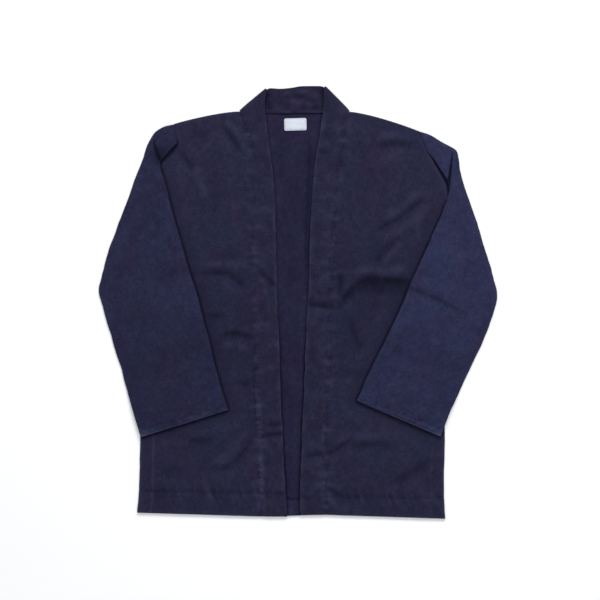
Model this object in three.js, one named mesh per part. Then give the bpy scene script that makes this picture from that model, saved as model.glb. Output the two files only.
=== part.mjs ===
// Haori: a hip-length open jacket of indigo cotton, laid flat with its front up and its sleeves
// turned in over the fronts. It is made of a back panel, two front panels, two sleeves, one long
// collar band that runs from hem to hem round the neck, and a small label inside the back neck.
// Units are millimetres. +X is the wearer's left, +Y runs from hem to collar and +Z is up.
// The origin is on the table, under the middle of the garment's outline.
import * as THREE from "three";

// Cloth and clearances
const CLOTH = 1.4; // body and sleeve cloth
const BAND = 2.8; // collar band, two plies with the seam allowances inside
const GAP = 0.3; // clearance between two pieces that are sewn or lie together
const BACK = 1.3; // back cloth where it lies on the table
const HEM_EXTRA = 0.7; // what a turned hem adds to the cloth
const BACK_HEM_EXTRA = 0.3; // the back's turned hem, pressed flat under the fronts
const SEAM_GAP = 0.4; // between edges that are sewn together, measured along the cloth
const LABEL = { width: 40, height: 22, corner: 3, thick: 1, x: -4.5, y: 320, turn: 0.026 };

// Heights of the layers over the table
const SLACK = 0.3; // the fronts lie this loosely on the back, even where a sleeve presses them
const FRONT_MID = CLOTH + GAP + SLACK + CLOTH / 2; // middle of a pressed front's cloth
const SEAT = FRONT_MID + CLOTH / 2 + 0.5; // underside of a sleeve where it lies on a front
const PUFF = 2.6; // how far a front stands up by itself, away from its edges
const PUFF_REACH = 60; // the puff is full this far from a side or shoulder
const EDGE_MID = 1; // middle of the cloth at a side or shoulder, where the front turns down
const EDGE_TURN = 4; // width of that turn
const BACK_INSET = 3.7; // the back's edge lies this far inside the turned side of the fronts
const BACK_TOP_INSET = 4.8; // and this far inside the turned shoulder
const HEM_FLAT = 70; // the cloth rises over this height above the hem
const FOLD_FROM_EDGE = 20; // folds reach their height this far from a side or shoulder
const FOLD_FROM_HEM = 40; // and this far above the hem
const FOLD_ENDS = 0.3; // the share of a fold's length over which each end fades out
const SHOULDER_BOW = { right: 3.4, left: 4.6 }; // how far each shoulder edge stands out from straight
const BAND_LIFT = { most: 3, atSeam: 0.8, atFree: 0.3 }; // how much of the front's lift it follows
const BAND_OWN_RISE = 1.2; // from this rise up, the band stands free of the front's folds
const BAND_EDGE = 0.55; // thickness of the band's folded free edge, as a share of the band's
const COVER_MARGIN = 12; // a front is pressed flat this far beside a sleeve
const COVER_FADE = 18; // and comes up to its own height over this width
const SLEEVE_GAP = 1.2; // between the two layers of a sleeve, at its edges
const CLIMB_MARGIN = 5; // a sleeve is fully up this far outside the edge of the front
const FULLNESS = 0.6; // the smaller, the fuller a sleeve stays towards its edges

// Each front with its half of the collar band, from hem to neck, a row for each section across it:
// the side edge, the seam between front and band, and the band's free edge. rise lifts the band.
const RIGHT_FRONT = [
  { side: [-289, -378], seam: [-67, -385], free: [-19, -385], rise: 0 },
  { side: [-286, -339], seam: [-69, -342], free: [-22, -342], rise: 0 },
  { side: [-284, -248], seam: [-73, -248], free: [-27, -248], rise: 0.2 },
  { side: [-284, -158], seam: [-76, -158], free: [-31, -158], rise: 0.2 },
  { side: [-284, -68], seam: [-77, -68], free: [-34, -68], rise: 0.2 },
  { side: [-283, 13], seam: [-78, 13], free: [-38, 13], rise: 0.2 },
  { side: [-281, 91], seam: [-81, 94], free: [-39, 94], rise: 0.2 },
  { side: [-274, 156], seam: [-82, 166], free: [-41, 173], rise: 0.3 },
  { side: [-263, 208], seam: [-82, 229], free: [-45, 235], rise: 0.4 },
  { side: [-248, 250], seam: [-85, 278], free: [-52, 282], rise: 0.8 },
  { side: [-220, 282], seam: [-94, 314], free: [-57, 325], rise: 1.5 },
  { side: [-222, 303], seam: [-99, 331], free: [-60, 356], rise: 1.9 },
  { side: [-223, 321], seam: [-103, 343.5], free: [-56, 382.5], rise: 1.9 },
];
const LEFT_FRONT = [
  { side: [265, -389], seam: [52, -382], free: [4.5, -382], rise: 0 },
  { side: [263, -352], seam: [51, -350], free: [3, -350], rise: 0 },
  { side: [264, -248], seam: [51, -248], free: [7, -248], rise: 0.2 },
  { side: [265, -158], seam: [54, -158], free: [11, -158], rise: 0.2 },
  { side: [265, -68], seam: [57, -68], free: [14, -68], rise: 0.2 },
  { side: [265, 13], seam: [60, 13], free: [18.5, 13], rise: 0.2 },
  { side: [268, 91], seam: [64, 94], free: [21, 94], rise: 0.2 },
  { side: [273, 157], seam: [67.5, 166], free: [24, 173], rise: 0.3 },
  { side: [271, 188], seam: [72, 220], free: [28, 226], rise: 0.4 },
  { side: [265, 215], seam: [77, 262], free: [32, 265], rise: 0.8 },
  { side: [252, 239], seam: [83, 296], free: [39, 301], rise: 1.5 },
  { side: [235, 270], seam: [87.5, 321], free: [44.5, 341], rise: 1.9 },
  { side: [219, 308], seam: [91, 343], free: [47.5, 386.8], rise: 1.9 },
];
const HEM_ROW = 1; // the table row that lies on the hem's stitching

// The way each diagonal fold of the band faces, in plan.
const FOLD_WAY = { right: [-0.64, 0.77], left: [0.71, 0.7] };

// The stretch of the collar band behind the neck, between its two diagonal folds.
const NECK = [
  { seam: [-103, 343.5], free: [-56, 382.5] },
  { seam: [-82, 342], free: [-49, 385] },
  { seam: [-54, 340.5], free: [-31, 384] },
  { seam: [-26, 340.3], free: [-11, 386] },
  { seam: [-4, 340.8], free: [4, 388.5] },
  { seam: [18, 341], free: [20, 389] },
  { seam: [42, 341.3], free: [34, 389] },
  { seam: [68, 342.3], free: [42, 388.5] },
  { seam: [91, 343], free: [47.5, 386.8] },
];

// The sleeves, from armhole seam to cuff, a row for each section across the flattened tube: its
// outer and inner edge, the loft between its layers, and over how much width it climbs the body.
const RIGHT_SLEEVE = [
  { outer: [-223.7, 320], inner: [-221, 284.5], loft: 0.4, climb: 0 },
  { outer: [-241, 315.5], inner: [-230, 272.6], loft: 0.8, climb: 0 },
  { outer: [-256, 306], inner: [-239, 262], loft: 1.2, climb: 0 },
  { outer: [-265, 293], inner: [-247.5, 253.5], loft: 1.6, climb: 0 },
  { outer: [-272, 280], inner: [-247, 248], loft: 2, climb: 14 },
  { outer: [-279, 258], inner: [-246, 238.5], loft: 2.1, climb: 20 },
  { outer: [-289, 233], inner: [-239, 217], loft: 2.1, climb: 24 },
  { outer: [-306, 186], inner: [-229, 177], loft: 2.1, climb: 24 },
  { outer: [-326, 132], inner: [-217, 134], loft: 2.1, climb: 24 },
  { outer: [-343, 84], inner: [-204, 89], loft: 2.1, climb: 24 },
  { outer: [-354, 42], inner: [-193.5, 53], loft: 2.1, climb: 24 },
  { outer: [-358, 23], inner: [-187, 35], loft: 2.1, climb: 24 },
  { outer: [-354, 3], inner: [-180, 12], loft: 2.1, climb: 24 },
  { outer: [-343, -37], inner: [-170, -28], loft: 2.1, climb: 24 },
  { outer: [-328.5, -84], inner: [-159, -69], loft: 2.1, climb: 24 },
  { outer: [-313, -136], inner: [-148, -116], loft: 2.1, climb: 24 },
  { outer: [-299, -188], inner: [-136, -159], loft: 2.1, climb: 24 },
  { outer: [-282, -242], inner: [-125, -193], loft: 2.1, climb: 24 },
];
const LEFT_SLEEVE = [
  { outer: [220, 308.6], inner: [236, 271], loft: 0.4, climb: 0 },
  { outer: [240, 299.5], inner: [247, 254], loft: 0.8, climb: 0 },
  { outer: [257, 289], inner: [256.5, 239], loft: 1.2, climb: 0 },
  { outer: [274, 280], inner: [265.5, 224], loft: 1.6, climb: 0 },
  { outer: [285, 272], inner: [272, 208], loft: 1.8, climb: 0 },
  { outer: [289, 256.5], inner: [271, 193.5], loft: 2, climb: 14 },
  { outer: [292.5, 233], inner: [266, 177], loft: 2.1, climb: 20 },
  { outer: [302, 201], inner: [256, 152], loft: 2.1, climb: 24 },
  { outer: [317, 159], inner: [239, 115], loft: 2.1, climb: 24 },
  { outer: [331, 114], inner: [220.5, 73], loft: 2.1, climb: 24 },
  { outer: [344, 73], inner: [203, 35], loft: 2.1, climb: 24 },
  { outer: [353, 39], inner: [191, 6], loft: 2.1, climb: 24 },
  { outer: [358, 14.5], inner: [181, -17], loft: 2.1, climb: 24 },
  { outer: [354.5, -10], inner: [170, -40.5], loft: 2.1, climb: 24 },
  { outer: [340, -53], inner: [155, -72], loft: 2.1, climb: 24 },
  { outer: [318, -102], inner: [139, -103.5], loft: 2.1, climb: 24 },
  { outer: [296, -148], inner: [123, -135], loft: 2.1, climb: 24 },
  { outer: [275, -193], inner: [112.5, -161], loft: 2.1, climb: 24 },
  { outer: [256.5, -241], inner: [105, -176], loft: 2.1, climb: 24 },
];
const CUFF_HEM = 15; // turned hem at the cuff

// The largest folds: a crest where height is above 0 and a trough where it is below, each along a
// bent line from one point past another to a third, fading out at both ends.
const FOLDS = [
  // across both fronts, where the jacket had been folded in half
  { from: [205, 58], past: [110, 62], to: [22, 60], width: 15, height: 3.4 },
  { from: [204, 36], past: [120, 44], to: [66, -2], width: 13, height: -3 },
  { from: [-172, 66], past: [-110, 62], to: [-50, 54], width: 15, height: 2.8 },
  { from: [-180, 52], past: [-105, 60], to: [-88, 24], width: 13, height: -2.8 },
  // from the left armhole down over the chest
  { from: [236, 200], past: [190, 130], to: [128, 122], width: 14, height: -2.6 },
  { from: [232, 148], past: [190, 130], to: [134, 66], width: 16, height: 2.6 },
  // waist and hem of the right front
  { from: [-166, -20], past: [-120, -70], to: [-82, -68], width: 13, height: -2.4 },
  { from: [-202, -240], past: [-150, -258], to: [-118, -244], width: 15, height: -2.2 },
  { from: [-86, -232], past: [-90, -284], to: [-140, -306], width: 14, height: -2.4 },
  // waist and hem of the left front
  { from: [14, -282], past: [70, -262], to: [160, -256], width: 15, height: -2.4 },
  { from: [30, -250], past: [80, -240], to: [160, -236], width: 16, height: 1.8 },
  { from: [166, -322], past: [200, -300], to: [238, -286], width: 14, height: -1.9 },
  // shoulders
  { from: [-138, 316], past: [-118, 306], to: [-96, 280], width: 14, height: -2.4 },
  { from: [-218, 270], past: [-200, 262], to: [-186, 240], width: 12, height: -2.1 },
  { from: [130, 290], past: [170, 306], to: [214, 276], width: 15, height: -2.1 },
];
const SLEEVE_FOLDS = [
  { from: [204, 34], past: [240, 16], to: [284, -8], width: 13, height: -1.4 },
  { from: [196, 12], past: [236, -8], to: [300, -26], width: 15, height: 1.2 },
  { from: [-274, 36], past: [-220, 76], to: [-194, 44], width: 13, height: -1.3 },
  { from: [-284, 142], past: [-270, 40], to: [-278, -80], width: 14, height: -1 },
];

// How finely each piece is divided
const FRONT_ROWS = [0, 0.5, 0.96, 1.04, 1.25, 1.5, 1.75, 2, 2.25, 2.5, 2.8, 3.1, 3.4, 3.7, 4, 4.3,
  4.6, 4.8, 5, 5.2, 5.4, 5.6, 5.8, 6, 6.3, 6.6, 7, 7.4, 7.8, 8.2, 8.6, 9, 9.5, 10, 10.4, 10.8,
  11.2, 11.6, 11.88, 12];
const BACK_ROWS = [0, 0.96, 1.04, 2, 3, 4, 5, 6, 7, 8, 9, 10, 10.5, 11, 11.5, 12];
const FRONT_COLUMNS = [0, 0.02, 0.1, 0.2, 0.3, 0.4, 0.5, 0.6, 0.7, 0.8, 0.88, 0.95, 1];
const BACK_COLUMNS = [0, 0.25, 0.5, 0.75, 1];
const BAND_COLUMNS = [0, 0.1, 0.5, 0.9, 1];
const NECK_STEPS = 16;
const FOLD_STEPS = 4; // round each diagonal fold of the band
const SLEEVE_STEPS = 30;
const SLEEVE_COLUMNS = 11;

const COLOURS = { cloth: 0x26263b, band: 0x25253a, label: 0xe9ebee };

const clamp01 = (t) => Math.min(1, Math.max(0, t));
const ease = (t) => clamp01(t) ** 2 * (3 - 2 * clamp01(t));
const mix = (a, b, t) => a + (b - a) * t;

// A smooth line through one column of a table; at(row) takes a row number with a fraction.
function columnLine(rows, column) {
  const points = rows.map((row) => new THREE.Vector3(row[column][0], row[column][1], 0));
  const curve = new THREE.CatmullRomCurve3(points, false, "catmullrom", 0.5);
  return { points, at: (row) => curve.getPoint(clamp01(row / (rows.length - 1))) };
}

// A plain number in a table, between its rows.
function columnValue(rows, column, row) {
  const low = Math.min(rows.length - 2, Math.floor(row));
  return mix(rows[low][column], rows[low + 1][column], row - low);
}

// Distance in plan from a point to a chain of straight pieces, and how far along it lies.
function nearest(x, y, chain) {
  let best = { distance: Infinity, along: 0 };
  for (let i = 0; i < chain.length - 1; i += 1) {
    const [a, b] = [chain[i], chain[i + 1]];
    const [dx, dy] = [b.x - a.x, b.y - a.y];
    const t = clamp01(((x - a.x) * dx + (y - a.y) * dy) / (dx * dx + dy * dy));
    const distance = Math.hypot(x - a.x - dx * t, y - a.y - dy * t);
    if (distance < best.distance) best = { distance, along: (i + t) / (chain.length - 1) };
  }
  return best;
}

// The same distance for a closed outline, below 0 inside it.
function outside(x, y, outline) {
  let inside = false;
  outline.forEach((a, i) => {
    const b = outline[(i + 1) % outline.length];
    const crosses = a.y > y !== b.y > y && x < ((b.x - a.x) * (y - a.y)) / (b.y - a.y) + a.x;
    if (crosses) inside = !inside;
  });
  const { distance } = nearest(x, y, [...outline, outline[0]]);
  return inside ? -distance : distance;
}

// The folds' height at a point of the plan.
function foldHeight(x, y, folds) {
  return folds.reduce((sum, fold) => {
    const { distance, along } = nearest(x, y, fold.line);
    const fade = ease(Math.min(along, 1 - along) / FOLD_ENDS);
    return sum + fold.height * fade * Math.exp(-((distance / fold.width) ** 2));
  }, 0);
}

function withLines(folds) {
  const point = ([x, y]) => new THREE.Vector2(x, y);
  return folds.map((fold) => {
    const bend = new THREE.QuadraticBezierCurve(point(fold.from), point(fold.past), point(fold.to));
    return { ...fold, line: bend.getPoints(8) };
  });
}
const bodyFolds = withLines(FOLDS);
const sleeveFolds = withLines(SLEEVE_FOLDS);

// A closed wall between two grids of points. A grid is a list of rows; where around is true each
// row is a ring, so that the wall is an open-ended tube.
function wall(outer, inner, around) {
  const [rows, columns] = [outer.length, outer[0].length];
  const points = [...outer.flat(), ...inner.flat()];
  const index = [];
  const at = (layer, i, j) => layer * rows * columns + i * columns + (j % columns);
  const quad = (a, b, c, d) => index.push(a, b, c, a, c, d);
  const across = around ? columns : columns - 1;
  for (let i = 0; i < rows - 1; i += 1) {
    for (let j = 0; j < across; j += 1) {
      quad(at(0, i, j), at(0, i, j + 1), at(0, i + 1, j + 1), at(0, i + 1, j));
      quad(at(1, i, j), at(1, i + 1, j), at(1, i + 1, j + 1), at(1, i, j + 1));
    }
  }
  for (let j = 0; j < across; j += 1) {
    quad(at(0, 0, j + 1), at(0, 0, j), at(1, 0, j), at(1, 0, j + 1));
    quad(at(0, rows - 1, j), at(0, rows - 1, j + 1), at(1, rows - 1, j + 1), at(1, rows - 1, j));
  }
  if (!around) {
    for (let i = 0; i < rows - 1; i += 1) {
      quad(at(0, i, 0), at(0, i + 1, 0), at(1, i + 1, 0), at(1, i, 0));
      const last = columns - 1;
      quad(at(0, i + 1, last), at(0, i, last), at(1, i, last), at(1, i + 1, last));
    }
  }
  return facingOut(points, index);
}

// The geometry with its faces pointing out, whichever way its grid ran.
function facingOut(points, index) {
  let volume = 0;
  for (let i = 0; i < index.length; i += 3) {
    const [a, b, c] = [points[index[i]], points[index[i + 1]], points[index[i + 2]]];
    volume += a.dot(b.clone().cross(c));
  }
  if (volume < 0) {
    for (let i = 0; i < index.length; i += 3) {
      [index[i + 1], index[i + 2]] = [index[i + 2], index[i + 1]];
    }
  }
  const geometry = new THREE.BufferGeometry().setFromPoints(points).setIndex(index);
  geometry.computeVertexNormals();
  return geometry;
}

// What a front needs to know of its own lines and of the sleeve that lies on it.
function frontPlan(rows, sleeveRows, bow) {
  const plan = { rows, side: columnLine(rows, "side"), seam: columnLine(rows, "seam") };
  const last = rows.length - 1;
  plan.free = columnLine(rows, "free");
  // A point of the panel. The shoulder edge bows out, most of all towards the neck.
  plan.at = (across, row) => {
    const point = plan.side.at(row).lerp(plan.seam.at(row), across);
    const arch = (4 * across * (1 - across)) ** 0.8 * (0.75 + 0.5 * across);
    point.y += bow * ease(row - last + 1) * arch;
    return point;
  };
  const shoulder = [0, 0.2, 0.4, 0.6, 0.8, 1].map((across) => plan.at(across, last));
  plan.turned = [...plan.side.points, ...shoulder.slice(1)];
  plan.outline = [...plan.turned, ...plan.seam.points.toReversed().slice(1)];
  const outer = columnLine(sleeveRows, "outer");
  const inner = columnLine(sleeveRows, "inner");
  plan.sleeve = { rows: sleeveRows, outer, inner };
  plan.sleeveOutline = [...outer.points, ...inner.points.toReversed()];
  // The share of a row at which it is this far, square on, from the side edge.
  plan.inset = (distance, row) => {
    let across = distance / plan.side.at(row).distanceTo(plan.seam.at(row));
    for (let i = 0; i < 4; i += 1) {
      const { x, y } = plan.at(across, row);
      across *= distance / nearest(x, y, plan.side.points).distance;
    }
    return across;
  };
  return plan;
}
const rightPlan = frontPlan(RIGHT_FRONT, RIGHT_SLEEVE, SHOULDER_BOW.right);
const leftPlan = frontPlan(LEFT_FRONT, LEFT_SLEEVE, SHOULDER_BOW.left);

// How far the cloth of a front stands over its pressed height at a point of the plan.
function frontLift(plan, x, y) {
  const pressed = ease(1 - (outside(x, y, plan.sleeveOutline) - COVER_MARGIN) / COVER_FADE);
  const inFromEdge = nearest(x, y, plan.turned).distance;
  const overHem = y - mix(plan.rows[0].side[1], plan.rows[0].seam[1], 0.5);
  const puff = PUFF * ease(inFromEdge / PUFF_REACH) * ease(overHem / HEM_FLAT);
  const held = ease(inFromEdge / FOLD_FROM_EDGE) * ease(overHem / FOLD_FROM_HEM);
  return Math.max(0, (1 - pressed) * (puff + foldHeight(x, y, bodyFolds) * held));
}

// A front panel. Its side and shoulder turn down to the table over the back's edge.
function frontPanel(plan) {
  const top = [];
  const bottom = [];
  for (const row of FRONT_ROWS) {
    const hem = row < HEM_ROW ? HEM_EXTRA : 0;
    const points = FRONT_COLUMNS.map((share, column) => {
      const point = plan.at(column === 1 ? plan.inset(EDGE_TURN, row) : share, row);
      const turn = ease(nearest(point.x, point.y, plan.turned).distance / EDGE_TURN);
      point.z = mix(EDGE_MID, FRONT_MID + frontLift(plan, point.x, point.y), turn);
      return point;
    });
    top.push(points.map((p) => new THREE.Vector3(p.x, p.y, p.z + CLOTH / 2 + hem)));
    bottom.push(points.map((p) => new THREE.Vector3(p.x, p.y, p.z - CLOTH / 2)));
  }
  return wall(top, bottom, false);
}

// The neck seam, from the right shoulder to the left.
const neckSeam = columnLine(NECK, "seam");
const neckFree = columnLine(NECK, "free");
const neckRow = (step) => (step / NECK_STEPS) * (NECK.length - 1);

// One row of the back panel: under the right front, across the opening, under the left front.
function backRow(row) {
  const [right, left] = [rightPlan.seam.at(row), leftPlan.seam.at(row)];
  const inset = (plan, across) => plan.at(across === 0 ? plan.inset(BACK_INSET, row) : across, row);
  const atTop = row === RIGHT_FRONT.length - 1;
  const shoulder = atTop ? BACK_TOP_INSET : 0;
  const points = BACK_COLUMNS.map((across) => inset(rightPlan, across));
  const mirrored = BACK_COLUMNS.toReversed().map((across) => inset(leftPlan, across));
  [...points, ...mirrored].forEach((point) => {
    point.y -= shoulder;
  });
  const middle = [];
  for (let step = 1; step < NECK_STEPS; step += 1) {
    const point = atTop ? neckSeam.at(neckRow(step)) : right.clone().lerp(left, step / NECK_STEPS);
    if (atTop) point.y -= SEAM_GAP;
    middle.push(point);
  }
  return [...points, ...middle, ...mirrored];
}

function backPanel() {
  const hem = (row) => (row < HEM_ROW ? BACK_HEM_EXTRA : 0);
  const raised = (row, z) => backRow(row).map((p) => p.setZ(z));
  const top = BACK_ROWS.map((row) => raised(row, BACK + hem(row)));
  const bottom = BACK_ROWS.map((row) => raised(row, 0));
  return wall(top, bottom, false);
}

// The collar band. Its outer face is up on the fronts, turns over at each diagonal fold, and faces
// the table behind the neck.
function collarBand() {
  const outer = [];
  const inner = [];
  const addRow = (seam, free, height, facing) => {
    const middle = BAND_COLUMNS.map((across) => {
      const point = seam.clone().lerp(free, across);
      return point.setZ(height(point, across));
    });
    const slim = (across) => (across === 1 ? BAND_EDGE : 1);
    const half = (across) => facing.clone().multiplyScalar((BAND / 2) * slim(across));
    outer.push(middle.map((p, j) => p.clone().add(half(BAND_COLUMNS[j]))));
    inner.push(middle.map((p, j) => p.clone().sub(half(BAND_COLUMNS[j]))));
  };
  const up = new THREE.Vector3(0, 0, 1);
  const flat = CLOTH + GAP + BAND / 2;
  const frontRow = (plan, row) => {
    const [seam, free] = [plan.seam.at(row), plan.free.at(row)];
    seam.lerp(free, SEAM_GAP / seam.distanceTo(free));
    const rise = columnValue(plan.rows, "rise", row);
    const height = (p, across) => {
      const share = mix(BAND_LIFT.atSeam, BAND_LIFT.atFree, across);
      const lift = Math.min(frontLift(plan, p.x, p.y), BAND_LIFT.most) * share;
      return flat + (rise < BAND_OWN_RISE ? Math.max(rise, lift) : rise);
    };
    addRow(seam, free, height, up);
  };
  const backHeight = BAND / 2;
  const foldHeightAt = flat + RIGHT_FRONT.at(-1).rise;
  const radius = (foldHeightAt - backHeight) / 2;
  const foldRows = (plan, way, order) => {
    const outward = new THREE.Vector3(way[0], way[1], 0);
    const row = plan.rows.length - 1;
    for (const step of order) {
      const angle = (Math.PI * step) / FOLD_STEPS;
      const shift = outward.clone().multiplyScalar(radius * Math.sin(angle));
      const [seam, free] = [plan.seam.at(row).add(shift), plan.free.at(row).add(shift)];
      seam.lerp(free, SEAM_GAP / seam.distanceTo(free));
      const z = backHeight + radius + radius * Math.cos(angle);
      const facing = outward.clone().multiplyScalar(Math.sin(angle)).setZ(Math.cos(angle));
      addRow(seam, free, () => z, facing);
    }
  };
  const frontRows = FRONT_ROWS.slice(0, -1);
  frontRows.forEach((row) => frontRow(rightPlan, row));
  const steps = Array.from({ length: FOLD_STEPS + 1 }, (_, i) => i);
  foldRows(rightPlan, FOLD_WAY.right, steps);
  for (let step = 1; step < NECK_STEPS; step += 1) {
    const [seam, free] = [neckSeam.at(neckRow(step)), neckFree.at(neckRow(step))];
    addRow(seam, free, () => backHeight, up.clone().negate());
  }
  foldRows(leftPlan, FOLD_WAY.left, steps.toReversed());
  frontRows.toReversed().forEach((row) => frontRow(leftPlan, row));
  return wall(outer, inner, false);
}

// A sleeve: a flattened tube, its lower layer on the table and on the front, its upper layer over it.
function sleeve(plan) {
  const { rows, outer: outerLine, inner: innerLine } = plan.sleeve;
  const last = rows.length - 1;
  const cuff = last - CUFF_HEM / outerLine.at(last).distanceTo(outerLine.at(last - 1));
  const stations = Array.from({ length: SLEEVE_STEPS + 1 }, (_, i) => (i / SLEEVE_STEPS) * last);
  stations.splice(-2, 1, cuff - 0.03, cuff + 0.03);
  const outsideRings = [];
  const insideRings = [];
  for (const row of stations) {
    const [a, b] = [outerLine.at(row), innerLine.at(row)];
    const [loft, climb] = [columnValue(rows, "loft", row), columnValue(rows, "climb", row)];
    const hem = row > cuff ? HEM_EXTRA : 0;
    const inward = CLOTH / a.distanceTo(b);
    const below = (p) => {
      const up = climb > 0 ? ease(1 - (outside(p.x, p.y, plan.outline) - CLIMB_MARGIN) / climb) : 0;
      return CLOTH / 2 + SEAT * up;
    };
    const ring = { out: [], in: [] };
    const add = (across, z, thickness) => {
      const point = a.clone().lerp(b, across);
      ring.out.push(point.clone().setZ(z(point) + thickness));
      ring.in.push(point.clone().setZ(z(point) - thickness));
    };
    const edge = (across, insideAcross) => {
      const [point, within] = [a.clone().lerp(b, across), a.clone().lerp(b, insideAcross)];
      const z = (p) => below(p) + (CLOTH + SLEEVE_GAP) / 2;
      ring.out.push(point.clone().setZ(z(point)));
      ring.in.push(within.clone().setZ(z(within)));
    };
    const across = (k) => (1 - Math.cos((Math.PI * k) / SLEEVE_COLUMNS)) / 2;
    const above = (share) => (p) => {
      const full = (4 * share * (1 - share)) ** FULLNESS;
      const folded = foldHeight(p.x, p.y, sleeveFolds) * full;
      return below(p) + CLOTH + SLEEVE_GAP + Math.max(0, loft * full + folded);
    };
    edge(0, inward);
    for (let k = 1; k < SLEEVE_COLUMNS; k += 1) {
      add(across(k), above(across(k)), CLOTH / 2);
      if (hem) ring.out.at(-1).z += hem;
    }
    edge(1, 1 - inward);
    for (let k = SLEEVE_COLUMNS - 1; k > 0; k -= 1) add(across(k), below, -CLOTH / 2);
    outsideRings.push(ring.out);
    insideRings.push(ring.in);
  }
  return wall(outsideRings, insideRings, true);
}

// The plain woven label, sewn flat to the inside of the back under the neck seam.
function neckLabel() {
  const shape = new THREE.Shape();
  const [w, h, r] = [LABEL.width / 2, LABEL.height / 2, LABEL.corner];
  shape.moveTo(-w + r, -h).lineTo(w - r, -h).absarc(w - r, -h + r, r, -Math.PI / 2, 0, false);
  shape.lineTo(w, h - r).absarc(w - r, h - r, r, 0, Math.PI / 2, false);
  shape.lineTo(-w + r, h).absarc(-w + r, h - r, r, Math.PI / 2, Math.PI, false);
  shape.lineTo(-w, -h + r).absarc(-w + r, -h + r, r, Math.PI, Math.PI * 1.5, false);
  return new THREE.ExtrudeGeometry(shape, { depth: LABEL.thick, bevelEnabled: false, curveSegments: 4 });
}

const cloth = (colour) => new THREE.MeshStandardMaterial({ color: colour, roughness: 0.92, metalness: 0 });

function piece(name, geometry, material) {
  const mesh = new THREE.Mesh(geometry, material);
  mesh.name = name;
  return mesh;
}

const haori = new THREE.Group();
const indigo = cloth(COLOURS.cloth);
haori.add(piece("back_panel", backPanel(), indigo));
haori.add(piece("front_panel_right", frontPanel(rightPlan), indigo));
haori.add(piece("front_panel_left", frontPanel(leftPlan), indigo));
haori.add(piece("sleeve_right", sleeve(rightPlan), indigo));
haori.add(piece("sleeve_left", sleeve(leftPlan), indigo));
haori.add(piece("collar_band", collarBand(), cloth(COLOURS.band)));
const label = piece("neck_label", neckLabel(), cloth(COLOURS.label));
label.position.set(LABEL.x, LABEL.y, CLOTH + GAP);
label.rotation.z = LABEL.turn;
haori.add(label);

export default haori;
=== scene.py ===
"""A haori of indigo cotton, laid flat with its sleeves turned in: its cloth, seams and finish."""
import math

import bmesh
import bpy
import numpy as np
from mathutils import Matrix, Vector


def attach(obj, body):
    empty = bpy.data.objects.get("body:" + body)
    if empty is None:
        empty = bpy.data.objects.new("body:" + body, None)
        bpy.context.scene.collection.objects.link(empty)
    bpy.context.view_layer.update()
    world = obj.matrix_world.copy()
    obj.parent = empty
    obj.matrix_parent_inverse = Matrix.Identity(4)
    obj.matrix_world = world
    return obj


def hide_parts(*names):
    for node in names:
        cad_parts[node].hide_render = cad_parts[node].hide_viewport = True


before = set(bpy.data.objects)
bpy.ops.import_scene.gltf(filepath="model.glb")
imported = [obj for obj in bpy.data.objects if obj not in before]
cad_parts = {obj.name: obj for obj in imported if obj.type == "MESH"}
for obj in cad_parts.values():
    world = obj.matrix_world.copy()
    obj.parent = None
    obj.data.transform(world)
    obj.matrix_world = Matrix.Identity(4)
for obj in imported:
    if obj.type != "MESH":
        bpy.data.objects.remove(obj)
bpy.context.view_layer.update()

# Sizes are in millimetres until a mesh is made from them.
MM = 0.001
CLOTH = 1.4          # thickness of the body and sleeve cloth, as in the frame
BAND = 2.8           # the collar band, two plies with the seam allowances inside
BAND_WIDTH = 47
GAP = 0.3            # clearance between pieces that lie on each other
HEM_EXTRA = 0.7      # what a turned hem adds to the cloth
SLACK = 0.3          # the fronts lie this loosely on the back, even under a sleeve
FRONT_MID = CLOTH + GAP + SLACK + CLOTH / 2  # middle of a pressed front's cloth
SEAT = FRONT_MID + CLOTH / 2 + 0.5  # underside of a sleeve where it lies on a front
PUFF = 2.2           # how far the fronts stand up from the back, away from their edges
PUFF_REACH = 60      # the puff is full this far from a side or shoulder
FOLD_REACH = 18      # and the folds are, this far
FOLD_START = 14      # the folds begin this far above the hem
FOLD_RISE = 40       # and come up to their own height over this width
EDGE_ROUND = 1.6     # radius of a turned edge, to the middle of the cloth
EDGE_LOW = 0.9       # lowest point of a turned edge's cloth
FOOT = 0.5           # how far a turned edge's cloth runs out at its foot
TUCK = 9             # how far a front's armhole edge runs on under the sleeve
OVERHANG = 1.9       # how far the sleeve's lower layer stands over that tuck
SHOULDER_ROW = 15.5  # distance between the last two rows of the fronts' tables
BACK_INSET = 3.7     # the back's edge lies this far inside the turned side of the fronts
HEM_FLAT = 70        # the fronts rise over this height above the hem
COVER_MARGIN = 3     # a front is pressed flat this far beside a sleeve
COVER_FADE = 28      # and comes up to its own height over this width
SLEEVE_GAP = 1.2     # between the two layers of a sleeve
SEAM_HEIGHT = 2.6    # middle of a sleeve's upper layer at the armhole seam
CLIMB_MARGIN = 5     # a sleeve is fully up this far outside the edge of the front
CUFF_HEM = 15        # depth of a cuff's turned hem
HEM_DEPTH = 32       # depth of the body's turned hem
BACK_HEM_ROW = 0.85  # where the back's hem is stitched, by the row of the front's table
ALLOWANCE = 24       # how far in from the side the seam allowance's edge shows through
NECK_Y = 341         # where the band's seam runs behind the neck
SEAM_STITCH = 2.6    # how far inside the band its topstitching runs
SEAM_LAP = 0.8       # how far the band's seam edge lies over the front
CUFF_STITCHES = (4, 13)  # the two rows of stitching, up from the cuff's edge
LABEL_STITCH = 1.5   # how far inside the label's edge its stitching runs
STITCH = (1.3, 0.38, 0.32)  # half the length, width and height of a stitch
SEAM_OVER = 3.5      # how far a sleeve's armhole end reaches in over the front
TROUGH_PAINTED_SHADE = 0.12   # painted shade: how much darker a trough is made for each millimetre of its depth
RELIEF_WEAR_AND_SHADE = 0.3            # how much paler each millimetre of a high spot is made, for wear, and darker each of a hollow, as painted shade
CREASE_DEPTH = 0.8   # how deep the creases are against the heights in their tables
STEP = 2.4           # spacing of the points along cloth that shows
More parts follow.
